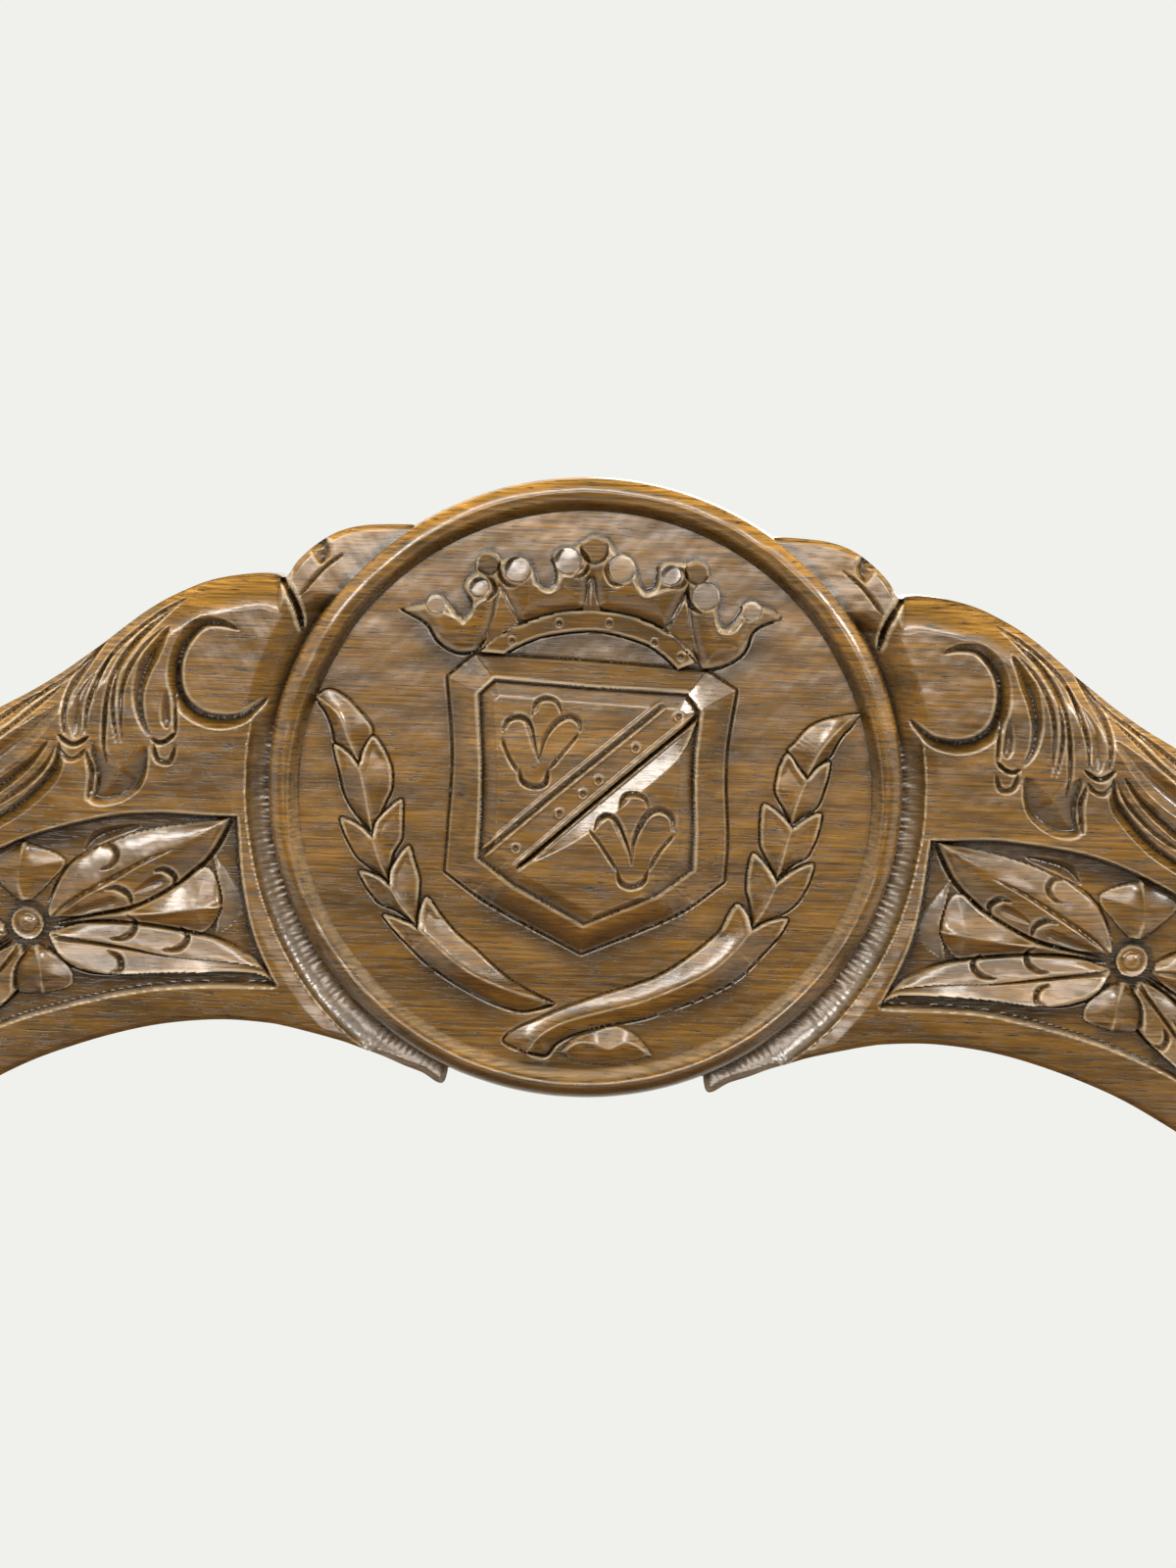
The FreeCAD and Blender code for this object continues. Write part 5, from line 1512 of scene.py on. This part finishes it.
    def far_petal(self, points: Path) -> Line:
        """Mirrors petals to the far side of the flower, turned to follow the panel.

        Args:
            points: Places on the roundel's side, in pixels.

        Returns:
            Places on the far side, in mm outwards and up.
        """
        cos, sin = math.cos(self.far_petal_turn), math.sin(self.far_petal_turn)
        spin = np.array([[cos, -sin], [sin, cos]]) * self.far_petal_size
        centre = np.array(VIEW.wing_mm([FLOWER])[0])
        local = np.array(VIEW.wing_mm(points)) - centre
        local[:, 0] *= -1
        return local @ spin.T + centre

    def carve_facet(self, relief: Relief, facet: Facet, place: Callable[[Path], Path]) -> None:
        """Carves a sloped face of the flower, placed by the given function."""
        hinge, edge = smooth_line(place(facet.hinge)), smooth_line(place(facet.edge))
        relief.facet(hinge, edge, facet.level, facet.drop, facet.power)


@dataclass(frozen=True)
class SaddleLeather:
    """Saddle leather, tanned and oiled: fine pebbled grain and an uneven brown, darker in the furrows."""

    name: str = "oiled_saddle_leather"
    light: str = "#7a4522"
    dark: str = "#432311"
    pebble_mm: float = 1.6
    cloud_mm: float = 55.0

    def build(self) -> bpy.types.Material:
        """Builds the material.

        Returns:
            The material.
        """
        material, tree = start_material(self.name)
        place = add_node(tree, "ShaderNodeTexCoord").outputs["Object"]
        cloud = add_node(tree, "ShaderNodeTexNoise", {
            "Vector": place, "Scale": 1 / (self.cloud_mm * MM), "Detail": 4.0, "Roughness": 0.6})
        tone = add_node(tree, "ShaderNodeValToRGB", {"Fac": cloud.outputs["Fac"]})
        for stop, position, hue in zip(tone.color_ramp.elements, (0.34, 0.66), (self.dark, self.light)):
            stop.position = position
            stop.color = linear(hue)
        pebble = add_node(tree, "ShaderNodeTexVoronoi", {"Vector": place, "Scale": 1 / (self.pebble_mm * MM)},
                          feature="DISTANCE_TO_EDGE")
        furrow = add_node(tree, "ShaderNodeMapRange", {"Value": pebble.outputs["Distance"], "From Max": 0.18})
        colour = add_node(tree, "ShaderNodeMix", {
            "Factor": furrow.outputs[0], "A": linear(self.dark), "B": tone.outputs["Color"]},
            data_type="RGBA")
        gloss = add_node(tree, "ShaderNodeMapRange", {
            "Value": cloud.outputs["Fac"], "From Min": 0.3, "From Max": 0.7, "To Min": 0.55, "To Max": 0.36})
        bump = add_node(tree, "ShaderNodeBump", {
            "Strength": 0.5, "Distance": 0.2 * MM, "Height": furrow.outputs[0]})
        shader = add_node(tree, "ShaderNodeBsdfPrincipled", {
            "Base Color": colour.outputs["Result"], "Roughness": gloss.outputs[0], "Normal": bump.outputs[0],
            "IOR": 1.47})
        add_node(tree, "ShaderNodeOutputMaterial", {"Surface": shader.outputs[0]})
        return material


@dataclass(frozen=True)
class Metal:
    """A worked metal with a mottled skin: clouded colour, uneven gloss and a faintly pitted face."""

    name: str
    bright: str
    dull: str
    roughness: tuple[float, float]
    cloud_mm: float
    pit_mm: float
    pit_depth_mm: float

    def build(self) -> bpy.types.Material:
        """Builds the material.

        Returns:
            The material.
        """
        material, tree = start_material(self.name)
        place = add_node(tree, "ShaderNodeTexCoord").outputs["Object"]
        cloud = add_node(tree, "ShaderNodeTexNoise", {
            "Vector": place, "Scale": 1 / (self.cloud_mm * MM), "Detail": 4.0, "Roughness": 0.65})
        pits = add_node(tree, "ShaderNodeTexNoise",
                        {"Vector": place, "Scale": 1 / (self.pit_mm * MM), "Detail": 2.0})
        tone = add_node(tree, "ShaderNodeValToRGB", {"Fac": cloud.outputs["Fac"]})
        for stop, position, hue in zip(tone.color_ramp.elements, (0.36, 0.62), (self.dull, self.bright)):
            stop.position = position
            stop.color = linear(hue)
        gloss = add_node(tree, "ShaderNodeMapRange", {
            "Value": cloud.outputs["Fac"], "From Min": 0.3, "From Max": 0.7,
            "To Min": self.roughness[1], "To Max": self.roughness[0]})
        bump = add_node(tree, "ShaderNodeBump", {
            "Strength": 0.5, "Distance": self.pit_depth_mm * MM, "Height": pits.outputs["Fac"]})
        shader = add_node(tree, "ShaderNodeBsdfPrincipled", {
            "Base Color": tone.outputs["Color"], "Roughness": gloss.outputs[0], "Normal": bump.outputs[0],
            "Metallic": 1.0})
        add_node(tree, "ShaderNodeOutputMaterial", {"Surface": shader.outputs[0]})
        return material


@dataclass(frozen=True)
class WaxedThread:
    """Waxed linen thread: pale straw, with the twist of its strands."""

    name: str = "waxed_linen_thread"
    light: str = "#c9ab78"
    dark: str = "#7d6238"
    twist_mm: float = 0.8

    def build(self) -> bpy.types.Material:
        """Builds the material.

        Returns:
            The material.
        """
        material, tree = start_material(self.name)
        place = add_node(tree, "ShaderNodeTexCoord").outputs["Object"]
        twist = add_node(tree, "ShaderNodeTexWave", {
            "Vector": place, "Scale": 1 / (self.twist_mm * MM) / 20, "Distortion": 0.5},
            bands_direction="DIAGONAL")
        colour = add_node(tree, "ShaderNodeMix", {
            "Factor": twist.outputs["Fac"], "A": linear(self.dark), "B": linear(self.light)},
            data_type="RGBA")
        shader = add_node(tree, "ShaderNodeBsdfPrincipled", {
            "Base Color": colour.outputs["Result"], "Roughness": 0.6})
        add_node(tree, "ShaderNodeOutputMaterial", {"Surface": shader.outputs[0]})
        return material


@dataclass
class SlungSeat:
    """The leather seat that hangs between the two rails, sewn along its front and back edges, sizes in mm."""

    thickness: float = 3.6
    wrap_radius: float = 20.3
    wrap_end: float = math.radians(-35.0)
    smooth_angle: float = math.radians(45)
    columns: int = 96
    rows: int = 120
    stitch_pitch: float = 8.0
    stitch_inset: float = 7.0
    stitch_end: float = 6.0
    stitch_size: tuple[float, float, float] = (2.7, 0.6, 0.5)

    def middle_line(self) -> tuple[np.ndarray, float]:
        """Lays the seat's middle line on one side, from the lowest place over the rail to its nailed end.

        Returns:
            Places across and up with the normal's two parts, one a row, and the line's length, all in mm.
        """
        low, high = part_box("right_seat_rail")
        rail_x, rail_z = (low.x + high.x) / 2 / MM, (low.z + high.z) / 2 / MM
        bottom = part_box("seat_leather")[0].z / MM + 2.0
        drop = self.wrap_radius - bottom
        arc_z = (rail_x ** 2 + rail_z ** 2 - drop ** 2) / (2 * (rail_z + drop))
        arc_r = arc_z - bottom
        swing = math.atan2(rail_x, arc_z - rail_z)
        lift = math.atan2(arc_z - rail_z, -rail_x)
        sag, wrap = arc_r * swing, self.wrap_radius * (lift - self.wrap_end)
        rows = []
        for s in np.linspace(0, sag + wrap, self.columns + 1):
            if s < sag:
                a = s / arc_r
                rows.append((arc_r * math.sin(a), arc_z - arc_r * math.cos(a), -math.sin(a), math.cos(a)))
            else:
                a = lift - (s - sag) / self.wrap_radius
                rows.append((rail_x + self.wrap_radius * math.cos(a), rail_z + self.wrap_radius * math.sin(a),
                             math.cos(a), math.sin(a)))
        return np.array(rows), sag + wrap

    def build(self, leather: bpy.types.Material, thread: bpy.types.Material) -> list[bpy.types.Object]:
        """Builds, dresses and hangs both halves of the seat, and returns them."""
        return [self.half(hand, leather, thread) for hand in Hand]

    def half(self, hand: Hand, leather: bpy.types.Material, thread: bpy.types.Material) -> bpy.types.Object:
        """Builds one half, which runs from the middle of the seat over its own rail.

        Args:
            hand: Which half.
            leather: Finish of the sheet.
            thread: Finish of the stitches.

        Returns:
            The half.
        """
        line, length = self.middle_line()
        low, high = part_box("seat_leather")
        front, back = low.y / MM, high.y / MM
        depth = np.linspace(front, back, self.rows + 1)
        s = np.linspace(0, length, self.columns + 1)
        reach, y = [a.ravel() for a in np.meshgrid(s, depth)]
        spot = np.tile(line, (self.rows + 1, 1))
        edge = np.minimum(y - front, back - y)
        swell = 0.5 * ripple(reach * hand.value, y, 60.0, 41) * np.clip(1 - reach / length * 0.9, 0, 1)
        pucker = ripple(reach * 2.2, y * 0.6, 24.0, 43 + hand.value)
        swell = swell + 0.35 * pucker * np.clip(reach / length - 0.3, 0, 0.4)
        swell = swell * np.clip(edge / 12, 0, 1) - 0.4 * np.exp(-((edge - self.stitch_inset) / 1.4) ** 2)
        x = spot[:, 0] + spot[:, 2] * swell
        z = spot[:, 1] + spot[:, 3] * swell
        places = np.stack([hand.value * x, y, z], 1) * MM
        piece = grid_piece("seat_leather_" + hand.name.lower(), places, self.columns, self.rows)
        select_only(piece)
        bpy.ops.object.mode_set(mode="EDIT")
        bpy.ops.mesh.select_all(action="SELECT")
        if hand is Hand.LEFT:
            bpy.ops.mesh.flip_normals()
        bpy.ops.object.mode_set(mode="OBJECT")
        wall = piece.modifiers.new("thickness", "SOLIDIFY")
        wall.thickness = self.thickness * MM
        wall.offset = 0.0
        bpy.ops.object.modifier_apply(modifier=wall.name)
        bpy.ops.object.shade_smooth_by_angle(angle=self.smooth_angle)
        dress(piece, leather)
        piece.data.materials.append(thread)
        self.sew(piece, hand, line, length, front, back)
        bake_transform(piece)
        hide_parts("seat_leather")
        return piece

    def sew(self, piece: bpy.types.Object, hand: Hand, line: np.ndarray, length: float, front: float,
            back: float) -> None:
        """Sews a row of stitches along the front and back edges of one half.

        Args:
            piece: The half.
            hand: Which half.
            line: Its middle line with normals.
            length: Length of the line.
            front: Front edge.
            back: Back edge.
        """
        bpy.ops.object.select_all(action="DESELECT")
        bpy.ops.mesh.primitive_uv_sphere_add(segments=8, ring_count=6, radius=1.0)
        model = bpy.context.object
        for material in piece.data.materials:
            model.data.materials.append(material)
        for face in model.data.polygons:
            face.material_index = 1
            face.use_smooth = True
        at = np.linspace(0, length, len(line))
        rise = self.thickness / 2 - 0.1
        size = Matrix.Diagonal((*[half * MM for half in self.stitch_size], 1))
        made = []
        for s in np.arange(self.stitch_pitch / 2, length - self.stitch_end, self.stitch_pitch):
            row = [float(np.interp(s, at, line[:, i])) for i in range(4)]
            normal = Vector((hand.value * row[2], 0.0, row[3])).normalized()
            along = Vector((0.0, 1.0, 0.0)).cross(normal)
            for y in (front + self.stitch_inset, back - self.stitch_inset):
                spot = Vector((hand.value * row[0], y, row[1])) + normal * rise
                turn = Matrix((along, (0.0, 1.0, 0.0), normal)).transposed().to_4x4()
                stitch = bpy.data.objects.new("stitch", model.data.copy())
                stitch.data.transform(Matrix.Translation(spot * MM) @ turn @ size)
                bpy.context.scene.collection.objects.link(stitch)
                made.append(stitch)
        bpy.data.objects.remove(model)
        for stitch in made:
            stitch.select_set(True)
        piece.select_set(True)
        bpy.context.view_layer.objects.active = piece
        bpy.ops.object.join()


@dataclass
class PivotRosette:
    """The carved rosette over the front end of the pivot: a rim, petals, beads and a button, sizes in mm."""

    radius: float = 56.0
    petals: int = 8
    petal_root: float = 27.0
    petal_reach: float = 17.0
    petal_height: float = 4.5
    vein_depth: float = 1.8
    sliver_height: float = 2.0
    rim_radius: float = 50.5
    rim_width: float = 3.6
    rim_height: float = 3.8
    edge_fall: float = 5.0
    beads: int = 24
    bead_radius: float = 15.2
    button_radius: float = 12.5
    button_height: float = 9.0
    chamfer: float = 0.6
    cells: int = 150

    def build(self, finish: bpy.types.Material) -> bpy.types.Object:
        """Builds and dresses the rosette.

        Args:
            finish: Finish of carved wood.

        Returns:
            The rosette.
        """
        low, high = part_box("front_boss")
        centre = (low.z + high.z) / 2 / MM
        x, z = round_grid(self.cells, self.radius - 0.2)
        r, angle = np.hypot(x, z), np.arctan2(z, x)
        relief = Relief(x, z)
        turn = np.abs((angle * self.petals / math.tau + 0.5) % 1 - 0.5) * 2
        half = np.clip(1 - turn, 0, 1)
        length = self.petal_root + self.petal_reach * np.sqrt(half)
        petal = np.clip((length - r) / 5.0, 0, 1)
        relief.h += self.petal_height * np.sqrt(petal) * (0.45 + 0.55 * np.sin(half * math.pi / 2))
        relief.h -= self.vein_depth * np.exp(-(turn * r / 3.2) ** 2) * petal * np.clip((r - 14) / 8, 0, 1)
        between = np.abs((angle * self.petals / math.tau) % 1 - 0.5) * 2
        sliver = np.clip(1 - between * r / 7.0, 0, 1) * np.clip((46 - r) / 6, 0, 1)
        sliver = sliver * np.clip((r - 22) / 6, 0, 1)
        relief.h += self.sliver_height * sliver
        rim = np.clip(1 - ((r - self.rim_radius) / self.rim_width) ** 2, 0, 1)
        relief.h += self.rim_height * np.sqrt(rim)
        relief.h -= self.edge_fall * np.clip((r - 53.5) / 2.4, 0, 1) ** 2
        beads = np.cos(angle * self.beads) * np.exp(-((r - self.bead_radius) / 1.6) ** 2)
        button = np.sqrt(np.clip(1 - (r / self.button_radius) ** 2, 0, 1))
        relief.h += beads + self.button_height * button
        relief.h += uneven(x, z, [(0.12, 9.0, 61)])
        # Staining with painted shade in the cuts, wear with painted highlights on the arrises, painted shadow
        # under raised parts.
        wear = relief.wear(self.cells + 1, near=3, wide=8)
        top = float(relief.h.max())
        front = low.y / MM + 0.05
        places = np.stack([x, front + top - relief.h, z + centre], 1) * MM
        piece = grid_piece("front_boss_rosette", places, self.cells, self.cells)
        close_back(piece, high.y, self.chamfer * MM)
        store(piece, wear)
        dress(piece, finish)
        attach(piece, "pivot")
        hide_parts("front_boss")
        return piece


@dataclass
class FrameDress:
    """Finishes for the frame's own pieces, which keep the shapes they were designed with."""

    walnuts: dict[Grain, bpy.types.Material]
    brass: bpy.types.Material
    iron: bpy.types.Material
    iron_nodes: tuple[str, ...] = ("pivot_rod", "pivot_nuts", "pivot_washers", "crest_screws")

    def finish_of(self, name: str) -> bpy.types.Material:
        """Picks the finish of a node by what the node is.

        Args:
            name: Name of the node.

        Returns:
            Its finish.
        """
        if name in self.iron_nodes:
            return self.iron
        if name.endswith("_nails"):
            return self.brass
        if name.endswith("_leg") or name.endswith("_foot_pegs"):
            return self.walnuts[Grain.UPRIGHT]
        if name.endswith("_arm_pegs") or name == "crest_rail":
            return self.walnuts[Grain.ACROSS]
        return self.walnuts[Grain.DEEP]

    def build(self, nodes: dict[str, bpy.types.Object]) -> None:
        """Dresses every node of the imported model.

        Args:
            nodes: The nodes by name.
        """
        for name, node in nodes.items():
            node.data.materials.clear()
            node.data.materials.append(self.finish_of(name))
            LOG.info("dressed %s", name)


@dataclass(frozen=True)
class Lamp:
    """A rectangular lamp: place and size in metres, power in watts, and whether wax mirrors it."""

    name: str
    place: tuple[float, float, float]
    size: Point
    power: float
    colour: str
    mirrored: bool = True


LAMPS = [
    Lamp("overhead_softbox", (0.0, 0.0, 2.35), (2.2, 2.2), 21.0, "#fff8ee", mirrored=False),
    Lamp("top_strip", (0.0, 0.27, 1.45), (1.1, 0.14), 14.0, "#fff8ee", mirrored=False),
    Lamp("left_softbox", (-0.66, -1.16, 1.47), (0.32, 0.32), 6.2, "#fffaf3"),
    Lamp("right_softbox", (1.04, -0.85, 1.56), (0.27, 0.27), 6.6, "#fffaf3"),
    Lamp("high_strip", (0.0, -1.30, 1.92), (1.4, 0.20), 12.0, "#fffaf3"),
    Lamp("front_strip", (0.0, -2.20, 1.22), (1.5, 0.36), 12.0, "#fff3e6"),
    Lamp("back_softbox", (0.6, 2.40, 1.50), (1.2, 0.9), 22.0, "#fff8ee"),
]


@dataclass
class Studio:
    """Floor, light, background and the camera of the photograph, sizes in metres."""

    background: str = "#f0f1ec"
    sky: str = "#f4f1ea"
    sky_strength: float = 0.06
    paper: str = "#e9e9e4"
    felt: str = "#2e2c2a"
    floor_radius: float = 1.6
    floor_clear: float = 0.75
    lamp_aim: Vector = field(default_factory=lambda: Vector((0.0, 0.2, 0.8)))
    sensor_mm: float = 36.0
    distance: float = 0.90
    elevation: float = math.radians(5.0)
    target: Vector = field(default_factory=lambda: Vector((0.00075, 0.228, 0.8724)))

    def build(self) -> None:
        """Builds the whole studio."""
        self.build_world()
        self.build_floor()
        self.build_cards()
        self.build_lights()
        self.build_camera()

    def build_world(self) -> None:
        """Makes a pale background for camera and mirror rays, and a dimmer soft sky for light."""
        world = bpy.data.worlds.new("studio")
        bpy.context.scene.world = world
        world.use_nodes = True
        tree = world.node_tree
        tree.nodes.clear()
        path = add_node(tree, "ShaderNodeLightPath")
        seen = path.outputs["Is Camera Ray"]
        for ray in ("Is Glossy Ray", "Is Transmission Ray"):
            seen = add_node(tree, "ShaderNodeMath", {0: seen, 1: path.outputs[ray]},
                            operation="MAXIMUM").outputs[0]
        sky = add_node(tree, "ShaderNodeBackground",
                       {"Color": linear(self.sky), "Strength": self.sky_strength})
        pale = add_node(tree, "ShaderNodeBackground", {"Color": linear(self.background), "Strength": 1.0})
        both = add_node(tree, "ShaderNodeMixShader", {0: seen, 1: sky.outputs[0], 2: pale.outputs[0]})
        add_node(tree, "ShaderNodeOutputWorld", {"Surface": both.outputs[0]})

    def build_floor(self) -> None:
        """Lays a pale round floor that fades into the background."""
        bpy.ops.object.select_all(action="DESELECT")
        bpy.ops.mesh.primitive_circle_add(
            vertices=96, radius=self.floor_radius, fill_type="NGON", location=(0, 0, -0.0005))
        bpy.ops.object.transform_apply(location=True)
        floor = bpy.context.object
        floor.name = "studio_floor"
        material, tree = start_material("pale_matt_paper")
        place = add_node(tree, "ShaderNodeTexCoord").outputs["Object"]
        reach = add_node(tree, "ShaderNodeVectorMath", {0: place}, operation="LENGTH").outputs["Value"]
        fade = add_node(tree, "ShaderNodeMapRange", {
            "Value": reach, "From Min": self.floor_clear, "From Max": self.floor_radius * 0.98})
        paper = add_node(tree, "ShaderNodeBsdfPrincipled",
                         {"Base Color": linear(self.paper), "Roughness": 0.9})
        glow = add_node(tree, "ShaderNodeEmission", {"Color": linear(self.background), "Strength": 1.0})
        both = add_node(tree, "ShaderNodeMixShader",
                        {0: fade.outputs[0], 1: paper.outputs[0], 2: glow.outputs[0]})
        add_node(tree, "ShaderNodeOutputMaterial", {"Surface": both.outputs[0]})
        floor.data.materials.append(material)

    def build_cards(self) -> None:
        """Stands dark felt cards behind the camera and overhead, so that the wood shines only in glints."""
        material, tree = start_material("charcoal_felt")
        felt = add_node(tree, "ShaderNodeBsdfPrincipled", {"Base Color": linear(self.felt), "Roughness": 1.0})
        add_node(tree, "ShaderNodeOutputMaterial", {"Surface": felt.outputs[0]})
        for name, place, size, tip in (
                ("front_card", (0, -1.6, 0.46), (4.6, 0.90), math.pi / 2),
                ("ceiling_card", (0, 0.2, 2.6), (3.2, 2.6), math.pi)):
            bpy.ops.object.select_all(action="DESELECT")
            bpy.ops.mesh.primitive_plane_add(size=1.0)
            bpy.ops.transform.resize(value=(*size, 1.0))
            bpy.ops.transform.rotate(value=tip, orient_axis="X", center_override=(0, 0, 0))
            bpy.ops.transform.translate(value=place)
            bpy.ops.object.transform_apply(location=True, rotation=True, scale=True)
            card = bpy.context.object
            card.name = name
            card.data.materials.append(material)
            card.visible_camera = False

    def build_lights(self) -> None:
        """Hangs two lamps overhead, softboxes in front and behind, and two strips over the camera."""
        for lamp in LAMPS:
            light = bpy.data.lights.new(lamp.name, "AREA")
            light.shape = "RECTANGLE"
            light.size, light.size_y = lamp.size
            light.energy = lamp.power
            light.color = linear(lamp.colour)[:3]
            obj = bpy.data.objects.new(lamp.name, light)
            bpy.context.scene.collection.objects.link(obj)
            obj.location = lamp.place
            obj.visible_camera = False
            obj.visible_glossy = lamp.mirrored
            obj.rotation_euler = (self.lamp_aim - Vector(lamp.place)).to_track_quat("-Z", "Y").to_euler()

    def build_camera(self) -> None:
        """Sets the camera square to the crest, a little above it and rolled as in the photograph."""
        camera = bpy.data.cameras.new("photo_camera")
        camera.sensor_width = self.sensor_mm
        tall = VIEW.frame[1] * VIEW.mm_per_pixel * MM
        camera.lens = self.sensor_mm * self.distance / tall
        camera.clip_start = 0.05
        obj = bpy.data.objects.new("photo_camera", camera)
        bpy.context.scene.collection.objects.link(obj)
        back = Vector((0.0, -math.cos(self.elevation), math.sin(self.elevation)))
        turn = (-back).to_track_quat("-Z", "Y").to_matrix().to_4x4()
        place = Matrix.Translation(self.target + back * self.distance)
        obj.matrix_world = place @ turn @ Matrix.Rotation(VIEW.roll, 4, "Z")
        bpy.context.scene.camera = obj


def main() -> None:
    """Builds the chair's pieces in order and reports each one."""
    logging.basicConfig(level=logging.INFO, format="%(name)s: %(message)s")
    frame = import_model()
    bpy.context.scene.view_settings.view_transform = "Standard"
    carved = Walnut("carved_walnut", Grain.ACROSS, carved=True).build()
    walnuts = {way: Walnut("waxed_walnut_" + way.name.lower(), way, ring_share=2.5).build() for way in Grain}
    brass = Metal("aged_brass", "#b9924e", "#6e5224", (0.26, 0.5), 6.0, 1.2, 0.05).build()
    iron = Metal("blackened_wrought_iron", "#4a4744", "#24211f", (0.42, 0.62), 9.0, 1.5, 0.15).build()
    FrameDress(walnuts, brass, iron).build(frame["nodes"])
    made = CrestRoundel().build(carved)
    for hand in Hand:
        made += CrestWing(hand).build(carved)
    made += SlungSeat().build(SaddleLeather().build(), WaxedThread().build())
    made.append(PivotRosette().build(carved))
    for piece in made:
        LOG.info("built %s with %d faces", piece.name, len(piece.data.polygons))
    Studio().build()


if __name__ == "__main__":
    main()
